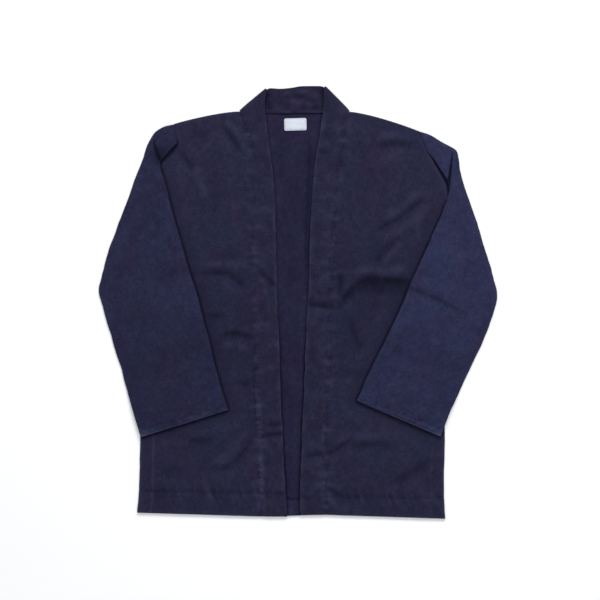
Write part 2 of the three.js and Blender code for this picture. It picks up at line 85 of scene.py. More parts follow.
# How many points lie across a front, each covered side of the back, its middle, a sleeve's upper
# and lower layer, and the band; and how many rows the band has behind the neck.
FRONT_POINTS, SIDE_POINTS, BACK_POINTS, SLEEVE_POINTS, UNDER_POINTS = 86, 24, 60, 64, 24
BAND_POINTS, NECK_ROWS = 21, 90
LABEL = {"width": 40, "height": 22, "corner": 3, "thick": 0.7, "x": -4.5, "y": 320, "turn": 0.026}
NOISE_TABLE = (61, 53)  # two primes, so that the noise is long in coming round again
# Layers of noise that belong to one place; the fronts and the sleeves count up from their own.
BACK_LAYER, NECK_LAYER, LABEL_LAYER, CUFF_LAYER = 41, 61, 71, 91


def table(columns, *rows):
    """Rows of points and numbers, each under its column's name."""
    return [dict(zip(columns.split(), row)) for row in rows]


# Each front with its half of the collar band, from hem to neck: the side edge, the seam between
# front and band, the band's free edge, and how far the band rises.
RIGHT_FRONT = table(
    "side seam free rise",
    ((-289, -378), (-67, -385), (-19, -385), 0),
    ((-286, -339), (-69, -342), (-22, -342), 0),
    ((-284, -248), (-73, -248), (-27, -248), 0.2),
    ((-284, -158), (-76, -158), (-31, -158), 0.2),
    ((-284, -68), (-77, -68), (-34, -68), 0.2),
    ((-283, 13), (-78, 13), (-38, 13), 0.2),
    ((-281, 91), (-81, 94), (-39, 94), 0.2),
    ((-274, 156), (-82, 166), (-41, 173), 0.3),
    ((-263, 208), (-82, 229), (-45, 235), 0.4),
    ((-248, 250), (-85, 278), (-52, 282), 0.8),
    ((-220, 282), (-94, 314), (-57, 325), 1.5),
    ((-222, 303), (-99, 331), (-60, 356), 1.9),
    ((-223, 321), (-103, 343.5), (-56, 382.5), 1.9),
)
LEFT_FRONT = table(
    "side seam free rise",
    ((265, -389), (52, -382), (4.5, -382), 0),
    ((263, -352), (51, -350), (3, -350), 0),
    ((264, -248), (51, -248), (7, -248), 0.2),
    ((265, -158), (54, -158), (11, -158), 0.2),
    ((265, -68), (57, -68), (14, -68), 0.2),
    ((265, 13), (60, 13), (18.5, 13), 0.2),
    ((268, 91), (64, 94), (21, 94), 0.2),
    ((273, 157), (67.5, 166), (24, 173), 0.3),
    ((271, 188), (72, 220), (28, 226), 0.4),
    ((265, 215), (77, 262), (32, 265), 0.8),
    ((252, 239), (83, 296), (39, 301), 1.5),
    ((235, 270), (87.5, 321), (44.5, 341), 1.9),
    ((219, 308), (91, 343), (47.5, 386.8), 1.9),
)
# The stretch of the band behind the neck, between its two diagonal folds.
NECK = table(
    "seam free",
    ((-103, 343.5), (-56, 382.5)),
    ((-82, 342), (-49, 385)),
    ((-54, 340.5), (-31, 384)),
    ((-26, 340.3), (-11, 386)),
    ((-4, 340.8), (4, 388.5)),
    ((18, 341), (20, 389)),
    ((42, 341.3), (34, 389)),
    ((68, 342.3), (42, 388.5)),
    ((91, 343), (47.5, 386.8)),
)
# The sleeves from armhole to cuff: the flattened tube's outer and inner edge, the loft between its
# layers, and over how much width it climbs the body.
RIGHT_SLEEVE = table(
    "outer inner loft climb",
    ((-223.7, 320), (-221, 284.5), 0.4, 0),
    ((-241, 315.5), (-230, 272.6), 0.8, 0),
    ((-256, 306), (-239, 262), 1.2, 0),
    ((-265, 293), (-247.5, 253.5), 1.6, 0),
    ((-272, 280), (-247, 248), 2, 14),
    ((-279, 258), (-246, 238.5), 2.1, 20),
    ((-289, 233), (-239, 217), 2.1, 24),
    ((-306, 186), (-229, 177), 2.1, 24),
    ((-326, 132), (-217, 134), 2.1, 24),
    ((-343, 84), (-204, 89), 2.1, 24),
    ((-354, 42), (-193.5, 53), 2.1, 24),
    ((-358, 23), (-187, 35), 2.1, 24),
    ((-354, 3), (-180, 12), 2.1, 24),
    ((-343, -37), (-170, -28), 2.1, 24),
    ((-328.5, -84), (-159, -69), 2.1, 24),
    ((-313, -136), (-148, -116), 2.1, 24),
    ((-299, -188), (-136, -159), 2.1, 24),
    ((-282, -242), (-125, -193), 2.1, 24),
)
LEFT_SLEEVE = table(
    "outer inner loft climb",
    ((220, 308.6), (236, 271), 0.4, 0),
    ((240, 299.5), (247, 254), 0.8, 0),
    ((257, 289), (256.5, 239), 1.2, 0),
    ((274, 280), (265.5, 224), 1.6, 0),
    ((285, 272), (272, 208), 1.8, 0),
    ((289, 256.5), (271, 193.5), 2, 14),
    ((292.5, 233), (266, 177), 2.1, 20),
    ((302, 201), (256, 152), 2.1, 24),
    ((317, 159), (239, 115), 2.1, 24),
    ((331, 114), (220.5, 73), 2.1, 24),
    ((344, 73), (203, 35), 2.1, 24),
    ((353, 39), (191, 6), 2.1, 24),
    ((358, 14.5), (181, -17), 2.1, 24),
    ((354.5, -10), (170, -40.5), 2.1, 24),
    ((340, -53), (155, -72), 2.1, 24),
    ((318, -102), (139, -103.5), 2.1, 24),
    ((296, -148), (123, -135), 2.1, 24),
    ((275, -193), (112.5, -161), 2.1, 24),
    ((256.5, -241), (105, -176), 2.1, 24),
)

# Creases: a ridge where height is above 0 and a trough where it is below, along a line from one
# point, bent past another, to a third. lean makes the side to the left of that line the steeper.
FRONT_CREASES = table(
    "start past end width height lean",
    # the fold across the waist, on the left front and then on the right
    ((286, 28), (160, 48), (98, 36), 15, -6, -0.74),
    ((150, 46), (108, 46), (72, -6), 9, -4, -0.3),
    ((216, 56), (150, 60), (84, 56), 9, 1.6, 0.2),
    ((150, 32), (122, 32), (106, 20), 6, -1.3, 0),
    ((122, 66), (66, 60), (10, 66), 6, -1.1, 0.2),
    ((100, 22), (84, 8), (66, -20), 5, -1.6, 0),
    ((74, 56), (82, 34), (72, 10), 5.5, -2.6, 0),
    ((-186, 66), (-120, 72), (-70, 62), 9, 1.6, 0),
    ((-206, 51), (-150, 50), (-112, 53), 6, -2, -0.5),
    ((-130, 50), (-108, 44), (-94, 20), 5, -2.2, -0.2),
    ((-150, 36), (-120, 30), (-104, 6), 9, 0.9, 0),
    # the left front, from the armhole down
    ((138, 272), (176, 300), (214, 274), 8, -2.4, 0),
    ((134, 286), (170, 312), (204, 290), 9, 1.3, 0),
    ((100, 300), (120, 270), (124, 236), 9, -1.1, 0),
    ((96, 262), (150, 250), (196, 262), 16, 1.2, 0),
    ((236, 198), (190, 150), (132, 124), 6, -2.1, 0.3),
    ((230, 214), (190, 166), (150, 142), 9, 1.4, 0),
    ((240, 176), (196, 128), (150, 112), 9, 1.7, 0),
    ((186, 124), (160, 96), (130, 62), 7, -1.6, 0.2),
    ((196, 116), (172, 90), (146, 62), 8, 1.6, 0),
    ((52, -12), (40, 0), (20, -8), 6, -1.8, 0),
    ((96, -20), (92, -66), (126, -90), 7, -1.5, 0),
    ((150, -40), (190, -60), (196, -110), 10, -1.1, 0),
    ((70, -120), (100, -132), (150, -124), 8, -1, 0),
    ((34, -280), (82, -262), (108, -232), 5, -2.2, 0),
    ((84, -262), (130, -250), (180, -258), 7, -1.5, 0),
    ((60, -252), (110, -236), (170, -242), 10, 1.5, 0),
    ((40, -326), (62, -338), (90, -356), 3.6, -2.2, 0),
    ((162, -330), (200, -312), (240, -280), 8, -2.1, 0),
    ((10, -270), (30, -276), (48, -268), 6, -1.8, 0),
    ((190, -210), (224, -230), (250, -226), 9, -1.3, 0),
    # the right front, from the shoulder down
    ((-142, 326), (-122, 303), (-98, 262), 5.5, -2.6, 0),
    ((-140, 326), (-112, 314), (-96, 296), 9, 1.4, 0),
    ((-196, 309), (-178, 300), (-156, 299), 10, -1.7, 0),
    ((-224, 284), (-202, 262), (-182, 232), 5, -2.8, 0),
    ((-192, 256), (-176, 220), (-164, 182), 9, 1.7, 0),
    ((-150, 262), (-146, 200), (-150, 140), 12, -0.9, 0),
    ((-110, 220), (-118, 160), (-108, 110), 11, 0.9, 0),
    ((-190, -24), (-158, -28), (-128, -20), 5, -2.5, 0),
    ((-148, -70), (-113, -38), (-78, -72), 5, -2.3, 0.2),
    ((-150, -90), (-112, -62), (-84, -92), 8, 1.5, 0),
    ((-120, -140), (-104, -150), (-80, -146), 7, -1.4, 0),
    ((-206, -244), (-176, -254), (-146, -244), 8, -2, 0),
    ((-155, -306), (-100, -292), (-81, -234), 6, -1.7, 0.2),
    ((-160, -290), (-116, -274), (-96, -230), 9, 1.1, 0),
    ((-250, -306), (-226, -296), (-196, -304), 10, -1.2, 0),
)
# Small creases on the collar band, in the same terms.
BAND_CREASES = table(
    "start past end width height lean",
    ((-78, 62), (-56, 46), (-34, 24), 6.5, -2.2, 0),
    ((-80, -96), (-56, -104), (-32, -98), 7, -0.5, 0),
    ((-58, -218), (-42, -222), (-12, -216), 5, -2.2, 0),
    ((-82, -250), (-54, -235), (-14, -237), 4.4, -3, -0.4),
    ((-84, 252), (-66, 264), (-50, 258), 6, -1.1, 0),
    ((-96, 298), (-84, 286), (-70, 268), 7, -1.2, 0),
    ((8, -4), (36, -5), (64, -16), 8, -2.4, -0.66),
    ((20, 62), (38, 68), (60, 62), 7, 0.8, 0),
    ((26, 22), (46, 8), (70, 20), 6, -1.5, 0),
    ((14, -120), (32, -112), (54, -122), 7, -0.4, 0),
    ((6, -277), (34, -274), (76, -270), 5.5, -1.6, 0),
    ((34, 264), (50, 276), (74, 262), 7, -1.2, 0),
    ((42, 300), (56, 296), (76, 304), 7, -0.8, 0),
)
SLEEVE_CREASES = table(
    "start past end width height lean",
    ((176, 36), (236, 16), (314, -30), 4.6, -5.2, 0.3),
    ((190, 44), (240, 26), (296, -4), 9, 0.8, 0),
    ((196, 10), (236, -8), (300, -26), 14, 0.8, 0),
    ((300, 190), (296, 120), (310, 60), 16, -0.8, 0),
    ((150, -64), (220, -96), (300, -120), 18, -0.7, 0),
    ((232, 60), (270, 30), (330, 40), 18, -0.7, 0),
    ((-268, 38), (-232, 50), (-186, 66), 6, -1.4, 0),
    ((-284, 60), (-278, -20), (-286, -116), 12, -0.9, 0),
    ((-300, 80), (-262, 66), (-236, 92), 14, 0.8, 0),
    ((-250, 200), (-262, 150), (-256, 96), 15, -0.8, 0),
    ((-184, -70), (-220, -96), (-270, -94), 16, -0.7, 0),
)
# Deep folds in the sleeves' upper layer beside the armholes: a line of points, half the fold's
# width and its depth at each.
SLEEVE_POCKETS = [
    [(277, 268, 1.2, 1), (276, 255, 1.6, 3), (274.5, 240, 1.9, 5), (272.5, 226, 2.3, 6),
     (270, 210, 2.7, 6), (267, 194, 3, 6), (263, 180, 3, 6), (257, 167, 2.4, 5)],
    [(-259, 290, 1.4, 1.5), (-256, 276, 2.2, 3), (-251.5, 262, 3, 4), (-247, 250, 2.6, 3)],
]
# Where the cloth dips into shade beside the lower end of each armhole, and how far that reaches.
ARMHOLE_SHADE = [dict(at=(-248, 264), reach=17), dict(at=(262, 200), reach=15)]
# How wide the valley along each armhole is, by the row of the front's table, and how dark its painted
# shade is.
RIGHT_VALLEY = dict(rows=(8.3, 8.8, 9.1, 9.6, 10.2, 10.8, 12), width=(0, 1.5, 4.4, 5, 4, 1.4, 1),
                    shade=1)
LEFT_VALLEY = dict(rows=(7.6, 8.2, 9, 10, 11, 12), width=(0, 1, 0.8, 0.8, 0.7, 0.6), shade=0.15)
# How each front is marked: where its broad painted shade is darkest and how far that reaches, how
# strongly the side seam's allowance shows through, and, low down, how dark the painted shadow beside
# the band's seam is and how worn that seam is.
RIGHT_MARKS = dict(dark_y=-60, dark_reach=160, allowance=0.9, seam=0.3, worn=1)
LEFT_MARKS = dict(dark_y=-10, dark_reach=110, allowance=0.35, seam=0.06, worn=0.3)
# The way each diagonal fold of the band faces, in plan.
RIGHT_FOLD_WAY = (-0.64, 0.77)
LEFT_FOLD_WAY = (0.71, 0.7)


def ease(t):
    """0 up to 0, 1 from 1 on, and a smooth rise between them."""
    t = np.clip(t, 0, 1)
    return t * t * (3 - 2 * t)


def near(distance, reach):
    """A bell: 1 at distance 0, about a third at the reach and nearly 0 at twice that."""
    return np.exp(-(distance / reach) ** 2)


def column(rows, name):
    return np.array([row[name] for row in rows], float)


def column_value(rows, name, row):
    return np.interp(row, np.arange(len(rows)), column(rows, name))


def column_line(rows, name, wave=0):
    """The smooth line through one column of a table, as a function of the row number. wave is the
    layer of the noise that makes it waver a little, as a cut and sewn edge does."""
    points = column(rows, name)
    padded = np.vstack([2 * points[0] - points[1], points, 2 * points[-1] - points[-2]])

    def at(row):
        row = np.clip(np.asarray(row, float), 0, len(points) - 1)
        low = np.minimum(row.astype(int), len(points) - 2)
        t = (row - low)[..., None]
        a, b, c, d = (padded[low + k] for k in range(4))
        bend = (2 * a - 5 * b + 4 * c - d) * t ** 2 + (3 * b - a - 3 * c + d) * t ** 3
        line = 0.5 * (2 * b + (c - a) * t + bend)
        if wave:
            y = line[..., 1]
            ends = ease(np.minimum(row, len(points) - 1 - row))
            line[..., 0] += ends * (0.6 * ripple(y, 0, 40, wave) + 0.3 * ripple(y, 0, 15, wave + 1))
        return line

    return at


def nearest(xy, chain):
    """Distance in plan to a chain of points, the share of it passed, and the side, 1 to its left."""
    best = np.full(xy.shape[:-1], np.inf)
    along = np.zeros_like(best)
    side = np.ones_like(best)
    for i in range(len(chain) - 1):
        a, b = chain[i], chain[i + 1]
        d = b - a
        t = np.clip(((xy - a) @ d) / max(d @ d, 1e-9), 0, 1)
        off = xy - a - t[..., None] * d
        distance = np.hypot(off[..., 0], off[..., 1])
        closer = distance < best
        best = np.where(closer, distance, best)
        along = np.where(closer, (i + t) / (len(chain) - 1), along)
        side = np.where(closer, np.sign(d[0] * off[..., 1] - d[1] * off[..., 0]), side)
    return best, along, side


def outside(xy, outline):
    """Distance from a closed outline, below 0 inside it."""
    inside = np.zeros(xy.shape[:-1], bool)
    x, y = xy[..., 0], xy[..., 1]
    for a, b in zip(outline, np.roll(outline, -1, axis=0)):
        if a[1] != b[1]:
            crosses = (a[1] > y) != (b[1] > y)
            inside ^= crosses & (x < (b[0] - a[0]) * (y - a[1]) / (b[1] - a[1]) + a[0])
    distance = nearest(xy, np.vstack([outline, outline[:1]]))[0]
    return np.where(inside, -distance, distance)


def creases(xy, rows):
    """Height of all the creases of a table at points of the plan."""
    total = np.zeros(xy.shape[:-1])
    share = np.linspace(0, 1, 11)[:, None]
    for row in rows:
        start, past, end = (np.array(row[k], float) for k in ("start", "past", "end"))
        line = (1 - share) ** 2 * start + 2 * share * (1 - share) * past + share ** 2 * end
        close = np.abs(xy - (start + end) / 2).max(-1) < np.abs(end - start).max() / 2 + 70
        distance, along, side = nearest(xy[close], line)
        fade = ease(np.minimum(along, 1 - along) / 0.3)
        width = row["width"] * (1 - row["lean"] * side)
        power = 2 if row["height"] > 0 else 1.5
        total[close] += row["height"] * fade * np.exp(-(distance / width) ** power)
    return CREASE_DEPTH * total


def pockets(xy):
    """Depth of the deep folds beside the armholes."""
    total = np.zeros(xy.shape[:-1])
    for pocket in SLEEVE_POCKETS:
        line = np.array(pocket)
        distance, along, _ = nearest(xy, line[:, :2])
        stations = np.linspace(0, 1, len(line))
        half = np.interp(along, stations, line[:, 2])
        depth = np.interp(along, stations, line[:, 3])
        total = np.maximum(total, depth * ease(1.5 - distance / half))
    return total


def ripple(u, v, size, layer):
    """Smooth noise from -1 to 1, with waves about this size long. Each layer has its own."""
    drawn = np.random.default_rng(layer).uniform(-1, 1, NOISE_TABLE)
    u, v = np.broadcast_arrays(2 * np.asarray(u) / size, 2 * np.asarray(v) / size)
    i, j = np.floor(u).astype(int), np.floor(v).astype(int)
    a, b = ease(u - i), ease(v - j)
    i, next_i = (k % NOISE_TABLE[0] for k in (i, i + 1))
    j, next_j = (k % NOISE_TABLE[1] for k in (j, j + 1))
    low = drawn[i, j] * (1 - a) + drawn[next_i, j] * a
    high = drawn[i, next_j] * (1 - a) + drawn[next_i, next_j] * a
    return low * (1 - b) + high * b


def crumple(x, y, layer):
    """The small soft unevenness of washed cotton, and how it is painted paler on its high spots
    and darker in its low ones: wear and painted shade.
    """
    coarse = ripple(x, y, 58, layer)
    middle = ripple(x + 6 * coarse, y, 24, layer + 1)
    fine = ripple(x, y + 3 * middle, 10, layer + 2)
    return 0.12 * coarse + 0.18 * middle + 0.22 * fine, 0.2 * coarse + 0.3 * middle + 0.5 * fine


def dots(along, across, size, layer):
    """Irregular spots from 0 to 1, where thread and cloth have worn pale along a seam."""
    return ease((ripple(along, across, size, layer) - 0.15) / 0.45)


def puckers(along, across, reach, layer):
    """The gathered look of cloth beside a seam: little ridges across it, fading away from it."""
    ridges = 0.55 * ripple(along, across * 0.35, 8.5, layer)
    ridges = ridges + 0.45 * ripple(along, across * 0.2, 15, layer + 1)
    return np.exp(-np.abs(across) / reach) * ridges


class Front:
    """What a front panel knows of its own lines and of the sleeve that lies on it."""

    def __init__(self, rows, sleeve_rows, valley, bow, outward, marks, layer):
        self.rows, self.sleeve_rows = rows, sleeve_rows
        self.valley, self.marks, self.layer = valley, marks, layer
        self.bow = bow
        self.outward = np.array(outward)
        self.side, self.seam, self.free = (
            column_line(rows, name, layer + wave)
            for name, wave in (("side", 50), ("seam", 52), ("free", 54))
        )
        self.outer = column_line(sleeve_rows, "outer", layer + 56)
        self.inner = column_line(sleeve_rows, "inner", layer + 58)
        self.last = len(rows) - 1
        self.side_chain = self.side(np.linspace(0, self.last, 6 * self.last + 1))
        self.shoulder = self.at(np.linspace(0, 1, 13), np.full(13, self.last))
        side, seam = column(rows, "side"), column(rows, "seam")
        self.outline = np.vstack([side, self.shoulder[1:-1], seam[::-1]])
        outer, inner = column(sleeve_rows, "outer"), column(sleeve_rows, "inner")
        self.sleeve_outline = np.vstack([outer, inner[::-1]])

    def at(self, across, row):
        """A point of the panel; its shoulder edge bows up a little between neck and sleeve."""
        across = np.asarray(across, float)
        a, b = self.side(row), self.seam(row)
        xy = a + (b - a) * across[..., None]
        top = ease(np.asarray(row, float) - self.last + 1)
        up = self.bow * top * (4 * across * (1 - across)) ** 0.8 * (0.75 + 0.5 * across)
        return xy + np.stack([np.zeros_like(up), up], -1)

    def inset(self, distance, row):
        """The share of each row at which it is this far, square on, from the side edge."""
        across = distance / np.linalg.norm(self.side(row) - self.seam(row), axis=-1)
        for _ in range(6):
            found = nearest(self.at(across, row), self.side_chain)[0]
            across = across * distance / np.maximum(found, 1e-6)
        return across

    def free_to_lift(self, xy):
        """1 where nothing presses the cloth, 0 under the sleeve and close beside it."""
        return 1 - ease(1 - (outside(xy, self.sleeve_outline) - COVER_MARGIN) / COVER_FADE)

    def lift(self, xy):
        """How far the cloth's puff and its folds raise it over a pressed front."""
        from_edge = np.minimum(nearest(xy, self.side_chain)[0], nearest(xy, self.shoulder)[0])
        hem_y = (self.rows[0]["side"][1] + self.rows[0]["seam"][1]) / 2
        over_hem = xy[..., 1] - hem_y
        puff = PUFF * ease(from_edge / PUFF_REACH) * ease(over_hem / HEM_FLAT)
        folded = creases(xy, FRONT_CREASES) * ease(from_edge / FOLD_REACH)
        folded = folded * ease((over_hem - FOLD_START) / FOLD_RISE)
        raised = self.free_to_lift(xy) * (puff + folded)
        # softly held at the height of a pressed front, so that no fold goes down into the back
        return 0.5 * (raised + np.sqrt(raised ** 2 + 0.2)) - 0.22

    def height(self, xy, row):
        """Middle of the panel's cloth over the table, and its wear, painted highlight and painted
        shade.
        """
        row = np.asarray(row, float)
        from_side = nearest(xy, self.side_chain)[0]
        from_edge = np.minimum(from_side, nearest(xy, self.shoulder)[0])
        from_seam = np.linalg.norm(xy - self.seam(row), axis=-1)
        x, y = xy[..., 0], xy[..., 1]
        soft, relief_wear_and_shade = crumple(x, y, self.layer)
        gather = puckers(y, from_seam, 9, self.layer + 4)
        dip = -0.3 * near(from_seam, 2.2)
        hem, hem_wear_and_shade = self.hem_height(xy, row)
        relief = self.free_to_lift(xy) * soft * ease(from_edge / FOLD_REACH)
        relief = relief + gather * ease((NECK_Y + 4 - y) / 30)
        top = FRONT_MID + self.lift(xy) + np.maximum(relief, -0.6) + hem + dip
        # the turn of the side and shoulder edges, and the valley beside the sleeve
        valley = np.interp(row, self.valley["rows"], self.valley["width"])
        turn = np.clip(1 - (from_edge - CLOTH / 2) / EDGE_ROUND, 0, 1)
        shape = np.sqrt(1 - turn ** 2)
        sink = ease((from_side - 0.35 * valley) / (0.5 * valley + 1.5))
        shape = np.where(valley > 0, shape * sink, shape)
        # painted highlight and shade with the puckers and the roped hem, and paler along the turned
        # edges as wear and painted highlight
        fade = 0.14 * relief_wear_and_shade + 0.5 * gather + 0.5 * hem_wear_and_shade + 0.4 * np.exp(-from_edge / 2.5)
        # painted shadow: a dark line on the front beside the band's seam
        seam_shadow_line = 0.06 + self.marks["seam"] * ease((-90 - y) / 60) * ease((y + 260) / 60)
        fade = fade - seam_shadow_line * near(from_seam, 2.4)
        fade = fade + self.shade(xy, from_side, valley)
        allowance = near(from_side - ALLOWANCE, 2.2) * ease((-190 - y) / 30) * self.marks["allowance"]
        return EDGE_LOW + (top + 0.5 * allowance - EDGE_LOW) * shape, fade + 0.35 * allowance

    def shade(self, xy, from_side, valley):
        """Painted shade, below 0: in the troughs (a little painted highlight on the ridges), broadly
        across the middle, close beside the sleeve that lies on the cloth, and down in the armhole's
        valley."""
        folded = creases(xy, FRONT_CREASES)
        beside_sleeve = np.maximum(outside(xy, self.sleeve_outline), 0)
        armhole = np.minimum(valley / 3, 1.4) * near(from_side, valley + 0.8)
        covered = 1.15 * (1 - (1 - self.valley["shade"]) * ease(valley / 0.6))
        broad = 0.17 * near(xy[..., 1] - self.marks["dark_y"], self.marks["dark_reach"])
        return (TROUGH_PAINTED_SHADE * np.minimum(folded, 0) + 0.05 * np.maximum(folded, 0) - broad
                - covered * near(beside_sleeve, 3.2) - armhole)

    def hem_height(self, xy, row):
        """The turned hem stands up a little, roped and drawn in along its stitching, with its colour
        painted paler and darker along the ropes and stitching: wear and painted shade.
        """
        from_stitching = (row - 1) * HEM_DEPTH
        inside = ease((1.5 - from_stitching) / 2)
        groove = -0.25 * near(from_stitching, 1.7)
        roping = ripple(xy[..., 0] + 0.7 * from_stitching, from_stitching * 0.3, 9, self.layer + 6)
        roping = roping * np.exp(-np.abs(from_stitching) / np.where(from_stitching < 0, 16, 6))
        lowest = near(from_stitching + HEM_DEPTH, 3)
        relief_wear_and_shade = 0.7 * roping - 0.35 * near(from_stitching, 1.8) + 0.6 * lowest
        return HEM_EXTRA / 2 * inside + groove + 0.35 * roping, relief_wear_and_shade


def lengths(points, axis=0):
    """Distance run along a grid of points, from its first row or column."""
    steps = np.linalg.norm(np.diff(points, axis=axis), axis=-1)
    start = np.zeros_like(np.take(steps, [0], axis=axis))
    return np.cumsum(np.concatenate([start, steps], axis=axis), axis=axis)


def even_rows(line, first, last, step):
    """Row numbers that lie this far apart along a line."""
    fine = np.linspace(first, last, 800)
    run = lengths(line(fine)[:, None, :])[:, 0]
    count = max(2, round(run[-1] / step) + 1)
    return np.interp(np.linspace(0, run[-1], count), run, fine)


def high_spots(z, reach=7):
    """How far each point of a grid stands over the ones around it."""
    mean = z.copy()
    for axis in (0, 1):
        padded = np.pad(mean, [(reach, reach) if k == axis else (0, 0) for k in (0, 1)], mode="edge")
        run = np.cumsum(padded, axis=axis)
        here = np.arange(mean.shape[axis])
        last = np.take(run, here + 2 * reach, axis=axis)
        first = np.take(run, here, axis=axis) - np.take(padded, here, axis=axis)
        mean = (last - first) / (2 * reach + 1)
    return z - mean


def make_active(piece):
    bpy.ops.object.select_all(action="DESELECT")
    piece.select_set(True)
    bpy.context.view_layer.objects.active = piece


def link_new(name, mesh):
    piece = bpy.data.objects.new(name, mesh)
    bpy.context.scene.collection.objects.link(piece)
    return piece


def face_up(mesh, around):
    """The faces' fronts turned out of a tube, or up from a sheet."""
    body = bmesh.new()
    body.from_mesh(mesh)
    bmesh.ops.recalc_face_normals(body, faces=body.faces)
    if not around and sum(f.normal.z * f.calc_area() for f in body.faces) < 0:
        bmesh.ops.reverse_faces(body, faces=body.faces)
    body.to_mesh(mesh)
    body.free()


def cloth_object(name, middle, pattern, fade, thickness, around=False):
    """A sheet of cloth through a grid of points in millimetres, given its thickness all over.
    pattern places the weave, in millimetres of cloth. fade is above 0 where the colour is painted
    paler, for wear and as painted highlight, and below 0 where it is painted darker, as painted shade."""
    rows, columns = middle.shape[:2]
    number = np.arange(rows * columns).reshape(rows, columns)
    if around:
        number = np.concatenate([number, number[:, :1]], 1)
    quads = [
        np.stack([grid[:-1, :-1], grid[:-1, 1:], grid[1:, 1:], grid[1:, :-1]], 2)
        for grid in (number, pattern)
    ]
    mesh = bpy.data.meshes.new(name)
    mesh.from_pydata((middle.reshape(-1, 3) * MM).tolist(), [], quads[0].reshape(-1, 4).tolist())
    mesh.uv_layers.new(name="cloth").data.foreach_set("uv", (quads[1] * MM).astype(np.float32).ravel())
    if not around:
        # paler on high spots for wear, darker in hollows as painted shade
        fade = fade + RELIEF_WEAR_AND_SHADE * np.clip(high_spots(middle[..., 2]), -1.5, 1.5)
    fade = np.clip(np.broadcast_to(fade, (rows, columns)), -1, 2.5).astype(np.float32)
    mesh.attributes.new("fade", "FLOAT", "POINT").data.foreach_set("value", fade.ravel())
    face_up(mesh, around)
    piece = link_new(name, mesh)
    thick = np.broadcast_to(thickness, (rows, columns)).ravel()
    group = piece.vertex_groups.new(name="thickness")
    share = np.round(thick / thick.max(), 2)
    for value in np.unique(share):
        group.add(np.nonzero(share == value)[0].tolist(), float(value), "REPLACE")
    wall = piece.modifiers.new("wall", "SOLIDIFY")
    wall.thickness = thick.max() * MM
    wall.offset = 0
    wall.vertex_group = "thickness"
    rim = piece.modifiers.new("rim", "BEVEL")
    rim.width = 0.3 * CLOTH * MM
    rim.segments = 2
    rim.limit_method = "ANGLE"
    rim.angle_limit = math.radians(62)
    make_active(piece)
    bpy.ops.object.modifier_apply(modifier="wall")
    bpy.ops.object.modifier_apply(modifier="rim")
    bpy.ops.object.shade_smooth()
    piece.vertex_groups.clear()
    return piece


def with_height(xy, z):
    """Points of the plan with their heights."""
    return np.concatenate([xy, np.broadcast_to(z, xy.shape[:-1])[..., None]], -1)


def edge_steps(reach, step):
    """Distances in from a turned edge: close together round the turn, then even."""
    turn = CLOTH / 2 + EDGE_ROUND * (1 - np.cos(np.radians([0, 20, 38, 55, 72, 90])))
    return np.concatenate([turn, np.arange(turn[-1] + 1.2, reach, step)])


def front_panel(name, front):
    """A front panel. Its side and shoulder turn down to the table, and its armhole edge runs on a
    little under the sleeve."""
    shoulder = edge_steps(9, 2) / SHOULDER_ROW
    rows = even_rows(lambda r: front.at(0.5 + 0 * r, r), 0, front.last - shoulder[-1] - 0.1, STEP)
    rows = np.concatenate([rows, front.last - shoulder[::-1]])
    steps = edge_steps(9, 1.4)
    start = front.inset(steps[-1], rows)
    columns = [front.inset(distance, rows) for distance in steps[:-1]]
    columns += [start + (1 - start) * share for share in np.linspace(0, 1, FRONT_POINTS)]
    across = np.stack(columns, 1)
    rows = np.repeat(rows[:, None], across.shape[1], 1)
    xy = front.at(across, rows)
    z, fade = front.height(xy, rows)
    # the foot of the side edge, which at the armhole lies flat under the sleeve
    edge, row = xy[:, :1], rows[:, :1]
    armhole = np.interp(row, front.valley["rows"], front.valley["width"])
    tucked = FOOT + (TUCK - FOOT) * ease(armhole / 1.2) * ease((front.last - 0.25 - row) / 0.5)
    feet = []
    for share in (1, 0.66, 0.33):
        slope = np.where(armhole > 0, 0.1, 0.7) * share
        feet.append(with_height(edge + tucked[..., None] * share * front.outward, z[:, :1] - slope))
    middle = np.concatenate(feet + [with_height(xy, z)], 1)
    rows = np.concatenate([rows[:, :3], rows], 1)
    # painted shade on the feet, down in the crevice under the sleeve
    fade = np.concatenate([np.full((len(rows), 3), -1.0), fade], 1)
    thickness = CLOTH + HEM_EXTRA * ease((1 - rows) * HEM_DEPTH / 2)
    middle[..., 2] = np.maximum(middle[..., 2], thickness / 2 + 0.05)
    return cloth_object(name, middle, middle[..., :2], fade, thickness)


right = Front(RIGHT_FRONT, RIGHT_SLEEVE, RIGHT_VALLEY, 3.4, (-0.9, 0.44), RIGHT_MARKS, 1)
left = Front(LEFT_FRONT, LEFT_SLEEVE, LEFT_VALLEY, 4.6, (0.93, 0.37), LEFT_MARKS, 21)
neck_seam = column_line(NECK, "seam")
neck_free = column_line(NECK, "free")
free_lines = [front.free(np.linspace(0, front.last, 120)) for front in (right, left)]


def from_bands(x, y):
    """How far a point lies in from the band's free edge, on the right and on the left."""
    first, second = (np.interp(y, line[:, 1], line[:, 0]) for line in free_lines)
    return x - first, second - x


